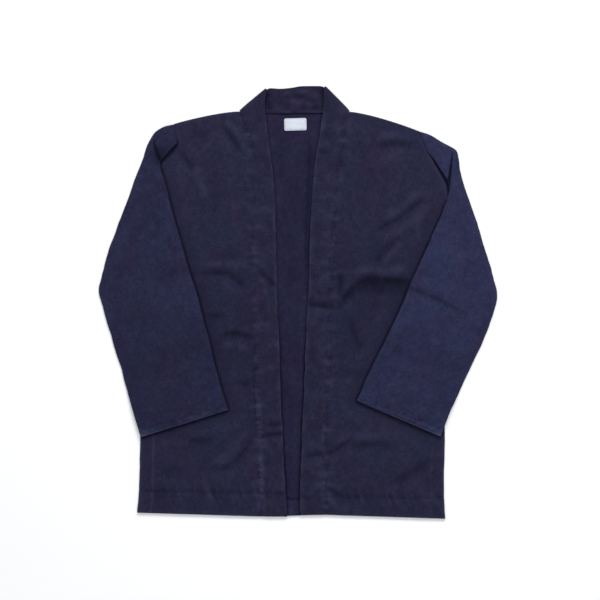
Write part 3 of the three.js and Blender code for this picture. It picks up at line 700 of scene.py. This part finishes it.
def back_height(x, y):
    """How far the inside of the back stands up from flat where it shows, and its wear and painted
    shade.
    """
    first, second = from_bands(x, y)
    opening = ease((first + 14) / 18) * ease((second + 14) / 18) * ease((NECK_Y + 3 - y) / 16)
    soft, relief_wear_and_shade = crumple(x, y, BACK_LAYER)
    bend = 3 * np.sin(y / 60)
    crease = np.exp(-np.abs(x - 13 + bend) / 4) * ease((312 - y) / 60) * ease(y / 120)
    lower = np.exp(-np.abs(x + 8 - 4 * np.sin(y / 50)) / 6) * ease((-20 - y) / 90)
    height = opening * (0.9 + 0.6 * soft + 0.9 * crease + 0.5 * lower)
    # in the shade of the band's arms, of its neck and of the crease down the middle
    beside = np.maximum(np.minimum(first, second), 0)
    deeper = 0.3 + 0.8 * ease((60 - y) / 220)
    shaded = -0.85 * deeper * near(beside, 3.4) * (y < NECK_Y)
    line = 0.1 + 0.6 * ease((x + 34) / 20) * ease((54 - x) / 16)
    under_collar = -line * near(np.maximum(NECK_Y - y, 0), 2)
    valley = -0.55 * near(x - 17 + bend, 6) * ease((312 - y) / 60)
    return height, 0.3 * relief_wear_and_shade + shaded + under_collar + valley * ease(y / 120) - 0.15


def back_panel():
    """The back: flat on the table, its inner face showing in the opening and its hem turned up."""
    rows = even_rows(right.seam, 0, right.last, 4)
    rows = np.unique(np.concatenate([rows, BACK_HEM_ROW + np.linspace(-0.08, 0.1, 9)]))
    covered = np.linspace(0, 1, SIDE_POINTS)
    insets = [front.inset(BACK_INSET, rows) for front in (right, left)]
    lines = []
    for number, row in enumerate(rows):
        sides = []
        for front, inset in zip((right, left), insets):
            share = np.concatenate([inset[number:number + 1], covered[1:]])
            side = front.at(share, np.full(len(share), row))
            if row == rows[-1]:
                side[:, 1] -= BACK_INSET + 0.4
            sides.append(side)
        if row == rows[-1]:
            middle = neck_seam(np.linspace(0, len(NECK) - 1, BACK_POINTS)[1:-1])
            middle[:, 1] += 3
        else:
            share = np.linspace(0, 1, BACK_POINTS)[1:-1, None]
            middle = sides[0][-1] * (1 - share) + sides[1][-1] * share
        lines.append(np.concatenate([sides[0], middle, sides[1][::-1]]))
    xy = np.array(lines)
    height, fade = back_height(xy[..., 0], xy[..., 1])
    from_stitching = (np.repeat(rows[:, None], xy.shape[1], 1) - BACK_HEM_ROW) * HEM_DEPTH
    thickness = CLOTH + HEM_EXTRA * 0.4 * ease(-from_stitching / 2)
    # painted shadow along the stitched step of the hem, which is a little paler below it
    fade = fade - 0.7 * near(from_stitching - 1, 1.2) + 0.2 * ease(-from_stitching / 2)
    return cloth_object("back_cloth", with_height(xy, thickness / 2 + height), xy, fade, thickness)


def band_height(front, xy, row, across):
    """Middle of the collar band's cloth where it lies on a front edge, and its wear, painted highlight
    and painted shade.
    """
    seam, free = front.seam(row), front.free(row)
    width = np.linalg.norm(free - seam, axis=-1)
    d = across * width
    from_free = (1 - across) * width
    y = xy[..., 1]
    layer = front.layer
    rise = column_value(front.rows, "rise", row)
    lift = np.minimum(front.lift(xy), 3.4) * (0.85 - 0.45 * across)
    calm = ease((front.rows[-1]["seam"][1] - seam[..., 1]) / 40)
    soft = 0.45 * ripple(y, d, 30, layer + 8) + 0.3 * ripple(y, d, 13, layer + 9)
    gather = puckers(y, d, 8, layer + 4)
    strip = ease((d - 1) / 2.5) * ease((13 - d) / 4)
    ridge = 0.4 * strip * (0.6 + 0.5 * ripple(y, d, 22, layer + 10))
    folded = creases(xy, BAND_CREASES) * ease((d + 3) / 5) * ease((from_free + 2) / 4)
    free_edge = ease((across - 0.72) / 0.28) * (0.8 + 0.5 * ripple(y, 0, 60, layer + 11))
    hem = near((row - 1) * 18, 1)
    z = CLOTH + GAP + BAND / 2 + np.where(rise < 1.2, np.maximum(rise, lift), rise) - seam_drop(d)
    z = z + calm * (gather + soft + ridge + np.maximum(folded, -1.6) + free_edge) - 0.15 * hem
    beside = front.height(seam, row)[0] + 0.15
    z = beside + (z - beside) * np.maximum(ease(d / 12), 1 - calm)
    # painted highlight and shade with the ripples and puckers, paler along the free edge as wear and
    # painted highlight, painted shade toward the free edge near the neck, in the creases and in the
    # hem's groove; the pale strip and specks by the seam are wear
    fade = 0.25 * soft + 0.45 * gather + 0.3 * calm * np.exp(-from_free / 2)
    fade = fade - 0.25 * (1 - calm) * across
    fade = fade + TROUGH_PAINTED_SHADE * 1.2 * np.minimum(folded, 0)
    low = front.marks["worn"] * ease((-150 - y) / 50)
    specks = dots(y, d, 7, layer + 20) * ease(d / 1.5) * ease((9 - d) / 3)
    pale = 0.3 * low * strip + (0.24 + 0.4 * low) * specks
    dark = 0.25 * dots(y, d, 13, layer + 22) * near(d - 4, 5)
    return z, fade + pale - dark - 0.2 * hem


def seam_drop(d):
    """How much lower the band's middle lies beside its seam, where it thins to one ply."""
    return 0.36 * (BAND - CLOTH) * (1 - ease(d / 14))


def collar_band():
    """The band in one length: up the right front, over at a diagonal fold, round behind the neck
    with its inner face up, over again and down the left front."""
    turn = 0.03 * (1 - np.cos(np.radians([0, 25, 45, 65, 90])))
    across = np.concatenate([turn, np.linspace(0.06, 0.94, BAND_POINTS), 1 - turn[::-1]])
    half = BAND / 2
    fold_high = CLOTH + GAP + half + RIGHT_FRONT[-1]["rise"]
    radius = (fold_high - half) / 2
    slim = 0.35 + 0.65 * np.sqrt(np.clip(np.minimum(across, 1 - across) / 0.03, 0, 1))
    drop = seam_drop(across * BAND_WIDTH)
    points, fades = [], []

    def over(seam, free):
        seam = seam - (free - seam) * SEAM_LAP / np.linalg.norm(free - seam, axis=-1, keepdims=True)
        return seam + (free - seam) * across[:, None]

    def arm(front, rows):
        rows = rows[:, None]
        xy = over(front.seam(rows), front.free(rows))
        z, fade = band_height(front, xy, rows, across)
        points.extend(with_height(xy, z))
        fades.extend(fade)

    def fold(front, way, angles):
        for angle in angles:
            shift = np.array(way) * radius * math.sin(angle)
            xy = over(front.seam(front.last) + shift, front.free(front.last) + shift)
            dropped = drop * (1 + math.cos(angle)) / 2
            points.append(with_height(xy, half + radius + radius * math.cos(angle) - dropped))
            # painted highlight over the fold's turn on the seam side, painted shade toward its free
            # edge
            fades.append((0.5 - 0.8 * across) * math.sin(angle) - 0.25 * across)

    def neck():
        for row in np.linspace(0, len(NECK) - 1, NECK_ROWS)[1:-1]:
            xy = over(neck_seam(row), neck_free(row))
            s, d = xy[:, 0], across * np.linalg.norm(neck_free(row) - neck_seam(row))
            calm = ease(min(row, len(NECK) - 1 - row) / 1.5)
            waves = 0.6 * ripple(s * 0.45 + d * 0.5, d, 15, NECK_LAYER)
            waves = waves + 0.5 * ripple(s, d, 20, NECK_LAYER + 1)
            lip = 1.2 * ease(1 - d / 14)
            points.append(with_height(xy, half + calm * (np.maximum(0.5 + waves, 0) + lip)))
            # painted shade beside the band's arms, and painted highlight and shade with the waves
            beside = np.maximum(np.minimum(*from_bands(s, xy[:, 1])), 0)
            near_fold = -0.85 * near(beside, 7) * ease((xy[:, 1] - NECK_Y - 5) / 16)
            fades.append(0.35 * waves + near_fold - 0.2)

    angles = np.radians(np.linspace(0, 180, 10))
    arm(right, even_rows(right.seam, 0, right.last, STEP)[:-1])
    fold(right, RIGHT_FOLD_WAY, angles)
    neck()
    fold(left, LEFT_FOLD_WAY, angles[::-1])
    arm(left, even_rows(left.seam, 0, left.last, STEP)[:-1][::-1])
    middle = np.array(points)
    run = lengths(middle)[:, len(across) // 2]
    pattern = np.stack(np.broadcast_arrays(across * BAND_WIDTH, run[:, None]), -1)
    thickness = slim * (BAND - 2 * drop)
    return cloth_object("collar_band_cloth", middle, pattern, np.array(fades), thickness[None, :])


def sleeve_edges(front, row):
    """The flattened tube's outer and inner edge. Its first bit reaches in over the front."""
    outer, inner = front.outer(row), front.inner(row)
    armhole = front.inner(0) - front.outer(0)
    away = np.array([-armhole[1], armhole[0]]) / np.linalg.norm(armhole)
    away = away * np.sign(away @ front.outward)
    shift = away * SEAM_OVER * max(0, 1 - row) ** 2
    return outer - shift, inner - shift


def sleeve_floor(front, row, xy):
    """Middle of a sleeve's lower layer: on the table, over the front's tucked edge, and up on the
    front where the sleeve lies on it."""
    off = outside(xy, front.outline)
    over_tuck = OVERHANG * ease(1 - (off - TUCK - 1) / 12)
    climb = column_value(front.sleeve_rows, "climb", row)
    if climb <= 0:
        return CLOTH / 2 + over_tuck
    seat = SEAT * ease(1 - (off - CLIMB_MARGIN) / climb)
    return CLOTH / 2 + np.maximum(seat, over_tuck * ease(1 - row / 4))


def sleeve_length(front):
    """How long the last row of a sleeve's table is, and with it the way up from the cuff."""
    last = len(front.sleeve_rows) - 1
    return np.linalg.norm(front.outer(last) - front.outer(last - 1))


def sleeve_top(front, row, shares):
    """Points across a sleeve's upper layer, the middle of its cloth there, and its wear, painted
    highlight and painted shade.
    """
    a, b = sleeve_edges(front, row)
    width = np.linalg.norm(b - a)
    across = shares * width
    from_cuff = (len(front.sleeve_rows) - 1 - row) * sleeve_length(front)
    xy = a + (b - a) * shares[:, None]
    full = (4 * shares * (1 - shares)) ** 0.6
    soft, relief_wear_and_shade = crumple(xy[:, 0], xy[:, 1], front.layer + 12)
    fold = creases(xy, SLEEVE_CREASES)
    # the turned cuff with its two rows of stitching
    turned_up = ease((CUFF_HEM - from_cuff) / 2)
    roping = ripple(across + from_cuff, from_cuff * 0.3, 8, front.layer + 16)
    roping = roping * np.exp(-abs(from_cuff - CUFF_HEM / 2) / 9)
    sewn = sum(near(from_cuff - row_up, 1.4) for row_up in CUFF_STITCHES)
    loft = (column_value(front.sleeve_rows, "loft", row) + 0.5) * (0.3 + 0.7 * ease(from_cuff / 70))
    rise = np.maximum(0, (loft + fold + 1.3 * soft - 0.5 * sewn + 0.5 * roping) * full)
    z = sleeve_floor(front, row, xy) + CLOTH + SLEEVE_GAP + rise + turned_up * HEM_EXTRA / 2
    # the deep folds beside the armhole, and the pull of its seam
    deep = pockets(xy)
    z = np.maximum(z - deep, np.minimum(z, CLOTH * 1.5 + 0.7))
    from_armhole = nearest(xy, np.array(sleeve_edges(front, 0)))[0]
    at_seam = 1 - np.sqrt(np.clip(from_armhole / 5, 0, 1)) if row < 3 else 0
    z = z - (z - SEAM_HEIGHT) * at_seam
    worn = 0.16 + 0.25 * dots(across, from_cuff, 7, CUFF_LAYER)
    # painted highlight and shade with the relief and the cuff's ropes, darker along the stitching as
    # painted shade, worn pale spots on the cuff
    fade = 0.34 * relief_wear_and_shade + 0.5 * roping - 0.45 * sewn + worn * turned_up
    # painted shade in the creases; paler along the cuff's edge, at its outer corner and along the fold
    # edges, as wear and painted highlight
    fade = fade + TROUGH_PAINTED_SHADE * np.minimum(fold, 0) + 0.6 * np.exp(-from_cuff / 2.2)
    fade = fade + 2.4 * np.exp(-across / 8) * np.exp(-from_cuff / 8)
    fade = fade + 0.2 * np.exp(-np.minimum(shares, 1 - shares) * width / 2.5)
    # painted shade down in the deep folds and at the armhole seam
    fade = fade - 1.8 * ease(deep / 2) - 0.35 * at_seam
    # painted shade beside the lower end of each armhole
    for dip in ARMHOLE_SHADE:
        fade = fade - 0.8 * near(np.linalg.norm(xy - dip["at"], axis=-1), dip["reach"]) * (row < 5)
    # painted shade, darker toward the lower end of the sleeve
    fade = fade - 0.16 * ease((20 - xy[:, 1]) / 120)
    return xy, z, fade


def sleeve(name, front):
    """A sleeve as a flattened tube, open at the armhole and the cuff."""
    last = len(front.sleeve_rows) - 1
    stations = even_rows(lambda r: (front.outer(r) + front.inner(r)) / 2, 0, last, STEP)
    radius = (SLEEVE_GAP + CLOTH) / 2
    even = np.linspace(0, 1, SLEEVE_POINTS)
    shares = 0.75 * even + 0.25 * (1 - np.cos(math.pi * even)) / 2
    lower = (1 - np.cos(np.linspace(0, math.pi, UNDER_POINTS))) / 2
    turn = np.radians([-60, -30, 0, 30, 60])
    rings, fades, depth = [], [], []
    for row in stations:
        a, b = sleeve_edges(front, row)
        width = np.linalg.norm(b - a)
        inset = (radius + CLOTH / 2) / width

        def edge(centre, sign, order):
            xy = a + (b - a) * (centre + sign * radius / width * np.cos(order))[:, None]
            middle = sleeve_floor(front, row, (a + (b - a) * centre)[None, :])
            return with_height(xy, middle + radius + radius * np.sin(order))

        top, z, fade = sleeve_top(front, row, inset + (1 - 2 * inset) * shares)
        under = a + (b - a) * (inset + (1 - 2 * inset) * lower[::-1])[:, None]
        under = with_height(under, sleeve_floor(front, row, under))
        rings.append(np.concatenate([
            edge(inset, -1, turn), with_height(top, z), edge(1 - inset, 1, turn[::-1]), under,
        ]))
        # painted highlight on the outer turn of the edges, painted shade on their inner turn and on the
        # lower layer
        edges = [np.full(len(turn), value) for value in (0.2, -0.5)]
        fades.append(np.concatenate([edges[0], fade, edges[1], np.full(len(lower), -0.6)]))
        from_cuff = (last - row) * sleeve_length(front)
        depth.append(CLOTH + HEM_EXTRA * float(ease((CUFF_HEM - from_cuff) / 2)))
    middle = np.array(rings)
    around = lengths(np.concatenate([middle, middle[:, :1]], 1), 1)
    top_middle = len(turn) + len(even) // 2
    run = np.broadcast_to(lengths(middle)[:, top_middle:top_middle + 1], around.shape)
    pattern = np.stack([around, run], -1)
    return cloth_object(name, middle, pattern, np.array(fades), np.array(depth)[:, None], around=True)


def stitch_mesh():
    """One stitch: a short thread, flattened where it dips into the cloth."""
    bpy.ops.object.select_all(action="DESELECT")
    bpy.ops.mesh.primitive_uv_sphere_add(segments=8, ring_count=6, radius=1)
    stitch = bpy.context.active_object
    stitch.scale = [half * MM for half in STITCH]
    bpy.ops.object.transform_apply(scale=True)
    mesh = stitch.data.copy()
    bpy.data.objects.remove(stitch)
    return mesh


def stitch_row(points, pitch, one, verts, faces):
    """Copies of a stitch along a line of points on the cloth's face, in millimetres."""
    run = lengths(points[:, None, :])[:, 0]
    places = np.arange(pitch / 2, run[-1], pitch)
    at = [np.stack([np.interp(places + k, run, points[:, i]) for i in range(3)], 1) for k in (-1, 1)]
    shape = np.array([v.co[:] for v in one.vertices])
    polygons = [tuple(p.vertices) for p in one.polygons]
    for before, after in zip(*at):
        along = after - before
        along /= np.linalg.norm(along)
        across = np.cross((0, 0, 1), along)
        across /= np.linalg.norm(across)
        up = np.cross(along, across)
        base = len(verts)
        centre = (before + after) / 2 * MM
        verts.extend((centre + shape @ np.array([along, across, up])).tolist())
        faces.extend(tuple(base + k for k in p) for p in polygons)


def thread_object(name, rows, pitch):
    """All the stitches of some rows as one piece."""
    one = stitch_mesh()
    verts, faces = [], []
    for row in rows:
        stitch_row(row, pitch, one, verts, faces)
    mesh = bpy.data.meshes.new(name)
    mesh.from_pydata(verts, [], faces)
    mesh.polygons.foreach_set("use_smooth", [True] * len(faces))
    bpy.data.meshes.remove(one)
    return link_new(name, mesh)


def hem_stitches(front):
    """The line of stitching along a front's hem."""
    share = np.linspace(0.03, 0.99, 160)
    row = np.ones(len(share))
    xy = front.at(share, row)
    return with_height(xy, front.height(xy, row)[0] + CLOTH / 2 + 0.05)


def band_stitches(front):
    """The line of stitching beside the seam of the band."""
    rows = even_rows(front.seam, 0.05, front.last - 0.3, 1.5)
    seam, free = front.seam(rows), front.free(rows)
    across = SEAM_STITCH / np.linalg.norm(free - seam, axis=-1)
    xy = seam + (free - seam) * across[:, None]
    half = BAND / 2 - seam_drop(SEAM_STITCH)
    return with_height(xy, band_height(front, xy, rows, across)[0] + half + 0.05)


def cuff_stitches(front):
    """Two rows of stitching round a cuff, as points on its upper layer."""
    lines = []
    for up in CUFF_STITCHES:
        row = len(front.sleeve_rows) - 1 - up / sleeve_length(front)
        xy, z, _ = sleeve_top(front, row, np.linspace(0.03, 0.97, 90))
        lines.append(with_height(xy, z + CLOTH / 2 + 0.2))
    return lines


def on_the_back(xy):
    """Where points of the label lie, and how far the back stands up there."""
    turn = LABEL["turn"]
    spin = np.array([[math.cos(turn), math.sin(turn)], [-math.sin(turn), math.cos(turn)]])
    placed = xy @ spin + (LABEL["x"], LABEL["y"])
    return placed, back_height(placed[..., 0], placed[..., 1])[0]


def neck_label():
    """The label: a small woven tape with rounded corners, left plain, lying on the back's inside."""
    half = np.array([LABEL["width"], LABEL["height"]]) / 2
    straight = half - LABEL["corner"]
    xy = np.stack(np.meshgrid(np.linspace(-1, 1, 41), np.linspace(-1, 1, 25)), -1) * half
    past = np.maximum(np.abs(xy) - straight, 0)
    reach = np.hypot(past[..., 0], past[..., 1])
    pull = np.where(past.min(-1) > 0, past.max(-1) / np.maximum(reach, 1e-9), 1)
    xy = np.sign(xy) * (np.minimum(np.abs(xy), straight) + past * pull[..., None])
    placed, height = on_the_back(xy)
    edge = (half - np.abs(xy)).min(-1)
    belly = 0.5 * ease(edge / 5) + 0.12 * ripple(xy[..., 0], xy[..., 1], 9, LABEL_LAYER)
    sewn = -0.35 * near(edge - LABEL_STITCH, 0.8)
    z = CLOTH + height + 0.15 + LABEL["thick"] / 2 + belly + sewn
    return cloth_object("neck_label_cloth", with_height(placed, z), xy, sewn, LABEL["thick"])


def label_stitches():
    """A line of stitching just inside the label's edge, as points on its face."""
    w, h = LABEL["width"] / 2 - LABEL_STITCH, LABEL["height"] / 2 - LABEL_STITCH
    corners = np.array([(-w, -h), (w, -h), (w, h), (-w, h), (-w, -h)])
    lines = []
    for a, b in zip(corners, corners[1:]):
        placed, height = on_the_back(np.linspace(a, b, 20))
        lines.append(with_height(placed, CLOTH + height + LABEL["thick"] + 0.15))
    return lines


# Materials
PALE_WEAR_AND_HIGHLIGHT = (0.085, 0.086, 0.165)  # the dye where it has rubbed off, also used for painted highlight
CAST = [(0.35, (1.09, 0.95, 0.97)), (0.65, (0.93, 1.05, 1.04))]  # the dye leaning to red, to blue


def set_inputs(tree, node, inputs):
    """Each input of a node, by its number or name, is linked to a socket or set to a value."""
    for key, value in inputs.items():
        if isinstance(value, bpy.types.NodeSocket):
            tree.links.new(value, node.inputs[key])
        else:
            node.inputs[key].default_value = value


def add(tree, kind, inputs, **settings):
    """A new node with its settings and its inputs."""
    node = tree.nodes.new(kind)
    for key, value in settings.items():
        setattr(node, key, value)
    set_inputs(tree, node, inputs)
    return node


def math_node(tree, operation, *terms):
    """The result of a sum whose terms are sockets or numbers."""
    return add(tree, "ShaderNodeMath", dict(enumerate(terms)), operation=operation).outputs[0]


def weighted(tree, *pair):
    """The sum of two sockets, each times its weight."""
    return math_node(tree, "ADD", *(math_node(tree, "MULTIPLY", *term) for term in pair))


def blend(tree, share, under, over, how="MIX"):
    """A colour with a share of another laid over it."""
    inputs = {0: share, 6: under, 7: over}
    return add(tree, "ShaderNodeMix", inputs, data_type="RGBA", blend_type=how).outputs[2]


def colour_ramp(tree, value, *stops):
    """A value turned into a colour between two stops, each a position and a colour."""
    ramp = add(tree, "ShaderNodeValToRGB", {"Fac": value})
    for element, (position, colour) in zip(ramp.color_ramp.elements, stops):
        element.position = position
        element.color = (*colour, 1)
    return ramp.outputs["Color"]


def noise(tree, vector, scale=1.0, detail=2.0, roughness=0.5):
    inputs = {"Vector": vector, "Scale": scale, "Detail": detail, "Roughness": roughness}
    return add(tree, "ShaderNodeTexNoise", inputs).outputs["Fac"]


def streaks(tree, vector, across, along, detail=2.0, roughness=0.5):
    """Noise with so many waves to the metre across the cloth and along it."""
    mapping = add(tree, "ShaderNodeMapping", {"Vector": vector, "Scale": (across, along, 1)})
    return noise(tree, mapping.outputs[0], 1.0, detail, roughness)


def ribs(tree, vector, direction, scale, distortion=1.2, detail_scale=0.6):
    """Even ribs that follow each other in one direction."""
    inputs = {"Vector": vector, "Scale": scale, "Distortion": distortion, "Detail Scale": detail_scale}
    return add(tree, "ShaderNodeTexWave", inputs, bands_direction=direction).outputs["Fac"]


def slub_weave():
    """Shade and height of a plain weave with uneven threads, the cloudiness of its dye and where
    that leans to red or to blue. Vector is in metres of cloth."""
    tree = bpy.data.node_groups.new("slub_weave", "ShaderNodeTree")
    for label, kind in (("Vector", "NodeSocketVector"), ("Slub", "NodeSocketFloat")):
        tree.interface.new_socket(label, in_out="INPUT", socket_type=kind)
    for label in ("Shade", "Height", "Mottle", "Cast"):
        tree.interface.new_socket(label, in_out="OUTPUT", socket_type="NodeSocketFloat")
    source = tree.nodes.new("NodeGroupInput").outputs
    place = source["Vector"]
    warp_streaks = streaks(tree, place, 460, 90, 3.0, 0.6)
    weft_streaks = streaks(tree, place, 110, 460, 2.0, 0.6)
    slubs = weighted(tree, (warp_streaks, 1.1), (weft_streaks, 0.9))
    slubs = math_node(tree, "MULTIPLY", math_node(tree, "SUBTRACT", slubs, 1.0), source["Slub"])
    grain = math_node(tree, "SUBTRACT", streaks(tree, place, 330, 330, 3.0, 0.75), 0.5)
    grained = math_node(tree, "ADD", slubs, grain)
    threads = math_node(tree, "MULTIPLY", ribs(tree, place, "X", 340.0), ribs(tree, place, "Y", 300.0))
    set_inputs(tree, tree.nodes.new("NodeGroupOutput"), {
        "Shade": math_node(tree, "ADD", grained, math_node(tree, "MULTIPLY", threads, 0.14)),
        "Height": math_node(tree, "ADD", math_node(tree, "MULTIPLY", threads, 0.6), grained),
        "Mottle": streaks(tree, place, 20, 14, 4.0, 0.55),
        "Cast": streaks(tree, place, 17, 14),
    })
    return tree


WEAVE = slub_weave()


def new_material(name):
    material = bpy.data.materials.new(name)
    material.use_nodes = True
    return material, material.node_tree


def set_shader(tree, inputs):
    set_inputs(tree, tree.nodes["Principled BSDF"], inputs)


def cotton(name, deep, pale, slub=1.0, painted_shade=(0.004, 0.0037, 0.0125)):
    """Matte indigo cotton, dyed unevenly between deep and pale, painted paler where it has worn and as
    painted highlight on high spots and edges, and darker as painted shade in troughs, crevices and
    beside and under other pieces."""
    material, tree = new_material(name)
    place = add(tree, "ShaderNodeUVMap", {}, uv_map="cloth").outputs[0]
    weave = add(tree, "ShaderNodeGroup", {}, node_tree=WEAVE)
    set_inputs(tree, weave, {"Vector": place, "Slub": slub})
    made = weave.outputs
    tone = weighted(tree, (made["Shade"], 0.72), (made["Mottle"], 0.3))
    base = colour_ramp(tree, math_node(tree, "ADD", tone, 0.27), (0.05, deep), (0.95, pale))
    base = blend(tree, 1.0, base, colour_ramp(tree, made["Cast"], *CAST), "MULTIPLY")
    # The fade attribute: above 0 mixes in the pale colour for wear and painted highlight, below 0 the
    # painted shade colour
    wear_and_painted_light = add(tree, "ShaderNodeAttribute", {}, attribute_name="fade").outputs["Fac"]
    paler = math_node(tree, "MULTIPLY", math_node(tree, "MAXIMUM", wear_and_painted_light, 0.0), 0.3)
    darker = math_node(tree, "MULTIPLY", math_node(tree, "MINIMUM", wear_and_painted_light, 0.0), -0.95)
    base = blend(tree, paler, base, (*PALE_WEAR_AND_HIGHLIGHT, 1))
    base = blend(tree, darker, base, (*painted_shade, 1))
    relief = {"Height": made["Height"], "Strength": 0.5, "Distance": 0.35 * MM}
    set_shader(tree, {
        "Base Color": base,
        "Normal": add(tree, "ShaderNodeBump", relief).outputs[0],
        "Roughness": 0.95,
        "Specular IOR Level": 0.04,
        "Sheen Weight": 0.05,
        "Sheen Roughness": 0.6,
        "Sheen Tint": (0.62, 0.66, 1.0, 1),
    })
    return material


def thread_material(name, dark, pale):
    """Cotton thread, worn unevenly between dark and pale."""
    material, tree = new_material(name)
    place = add(tree, "ShaderNodeTexCoord", {}).outputs["Object"]
    base = colour_ramp(tree, noise(tree, place, 75.0), (0.42, dark), (0.72, pale))
    set_shader(tree, {"Base Color": base, "Roughness": 0.9, "Specular IOR Level": 0.08})
    return material


def label_material():
    """Off-white woven tape, finely ribbed and a little soiled."""
    material, tree = new_material("label_tape")
    place = add(tree, "ShaderNodeTexCoord", {}).outputs["Object"]
    ribbed = ribs(tree, place, "Y", 900.0, 0.5, 1.0)
    tone = weighted(tree, (ribbed, 0.3), (noise(tree, place, 90.0), 0.7))
    base = colour_ramp(tree, tone, (0.2, (0.56, 0.6, 0.68)), (0.8, (0.7, 0.74, 0.8)))
    relief = add(tree, "ShaderNodeBump", {"Height": ribbed, "Distance": 0.1 * MM})
    set_shader(tree, {"Base Color": base, "Normal": relief.outputs[0], "Roughness": 0.6})
    return material


def floor_material():
    material, tree = new_material("studio_floor")
    place = add(tree, "ShaderNodeTexCoord", {}).outputs["Object"]
    base = colour_ramp(tree, noise(tree, place, 1.5), (0.3, [0.96] * 3), (0.7, [0.975] * 3))
    set_shader(tree, {"Base Color": base, "Roughness": 0.8})
    return material


def finish_piece(piece, material, slot, *nodes):
    """A piece with its material, hung under the root body, with the imported solids that it stands for
    hidden. slot is not used.
    """
    piece.data.materials.clear()
    piece.data.materials.append(material)
    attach(piece, "root")
    if nodes:
        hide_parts(*nodes)
    return piece


# The studio: lens and sensor in millimetres, and the width that the camera sees in metres
LENS, SENSOR, SEEN_WIDTH = 85, 36, 1.08


def area_light(name, place, size, energy, colour):
    """A rectangular light that faces the origin."""
    data = bpy.data.lights.new(name, "AREA")
    data.shape = "RECTANGLE"
    data.size, data.size_y = size
    data.energy = energy
    data.color = colour
    light = bpy.data.objects.new(name, data)
    light.location = place
    light.rotation_euler = (-Vector(place)).to_track_quat("-Z", "Y").to_euler()
    bpy.context.scene.collection.objects.link(light)


def studio():
    """A pale floor, a large key light from the head of the jacket, two weaker ones and a pale sky."""
    bpy.ops.mesh.primitive_plane_add(size=8)
    floor = bpy.context.active_object
    floor.name = "studio_floor"
    floor.data.materials.append(floor_material())
    area_light("key_light", (0.6, 2.3, 1.75), (1.7, 1.1), 74, (1.0, 0.99, 0.98))
    area_light("fill_light", (-1.8, 0.7, 1.7), (1.6, 1.6), 10, (0.97, 0.98, 1.0))
    area_light("low_light", (0.5, -2.0, 1.9), (2.4, 1.4), 24, (0.98, 0.98, 1.0))
    world = bpy.data.worlds.new("studio_world")
    bpy.context.scene.world = world
    world.use_nodes = True
    background = world.node_tree.nodes["Background"]
    background.inputs["Color"].default_value = (0.95, 0.97, 1.0, 1)
    background.inputs["Strength"].default_value = 0.42


def camera():
    """Straight above, framed as the photograph is."""
    data = bpy.data.cameras.new("camera")
    data.lens = LENS
    data.sensor_width = SENSOR
    seen = bpy.data.objects.new("camera", data)
    seen.location = (0.0038, 0.0042, SEEN_WIDTH * LENS / SENSOR)
    bpy.context.scene.collection.objects.link(seen)
    bpy.context.scene.camera = seen


bpy.context.scene.view_settings.view_transform = "Standard"
camera()
studio()

indigo = cotton("indigo_cotton", (0.0085, 0.0081, 0.021), (0.0261, 0.0256, 0.059))
indigo_sleeve = cotton("indigo_cotton_sleeve", (0.0092, 0.0092, 0.0267), (0.0275, 0.0283, 0.069))
# a lit copy of the sleeve cotton, paler and bluer: painted light on the sleeve nearer the key light
indigo_sleeve_left_lit = cotton("indigo_cotton_sleeve_left_lit", (0.0117, 0.0128, 0.0353),
                            (0.0343, 0.0376, 0.0912), painted_shade=(0.0022, 0.003, 0.0125))
indigo_band = cotton("indigo_cotton_band", (0.0087, 0.008, 0.0206), (0.0266, 0.0246, 0.0558), 1.1)
indigo_inside = cotton("indigo_cotton_inside", (0.0083, 0.0076, 0.0218), (0.0249, 0.0229, 0.0585))
COTTON, LABEL_CLOTH = "indigo_cotton", "label_cloth"

back = finish_piece(back_panel(), indigo_inside, COTTON, "back_panel")
front_right = finish_piece(front_panel("front_right_cloth", right), indigo, COTTON, "front_panel_right")
front_left = finish_piece(front_panel("front_left_cloth", left), indigo, COTTON, "front_panel_left")
sleeve_right = finish_piece(sleeve("sleeve_right_cloth", right), indigo_sleeve, COTTON, "sleeve_right")
sleeve_left = finish_piece(sleeve("sleeve_left_cloth", left), indigo_sleeve_left_lit, COTTON, "sleeve_left")
band = finish_piece(collar_band(), indigo_band, "indigo_band", "collar_band")
label = finish_piece(neck_label(), label_material(), LABEL_CLOTH, "neck_label")

worn_thread = thread_material("worn_thread", (0.014, 0.0135, 0.033), (0.034, 0.034, 0.07))
indigo_thread = thread_material("indigo_thread", (0.008, 0.0078, 0.02), (0.02, 0.02, 0.046))
label_thread = thread_material("label_thread", (0.3, 0.34, 0.42), (0.6, 0.65, 0.72))
band_seams = [band_stitches(right), band_stitches(left)]
hems = [hem_stitches(right), hem_stitches(left), *cuff_stitches(right), *cuff_stitches(left)]
for name, rows, pitch, thread, slot in (
    ("seam_stitches", band_seams, 3.6, worn_thread, COTTON),
    ("hem_stitches", hems, 3.6, indigo_thread, COTTON),
    ("label_stitches", label_stitches(), 3.0, label_thread, LABEL_CLOTH),
):
    finish_piece(thread_object(name, rows, pitch), thread, slot)
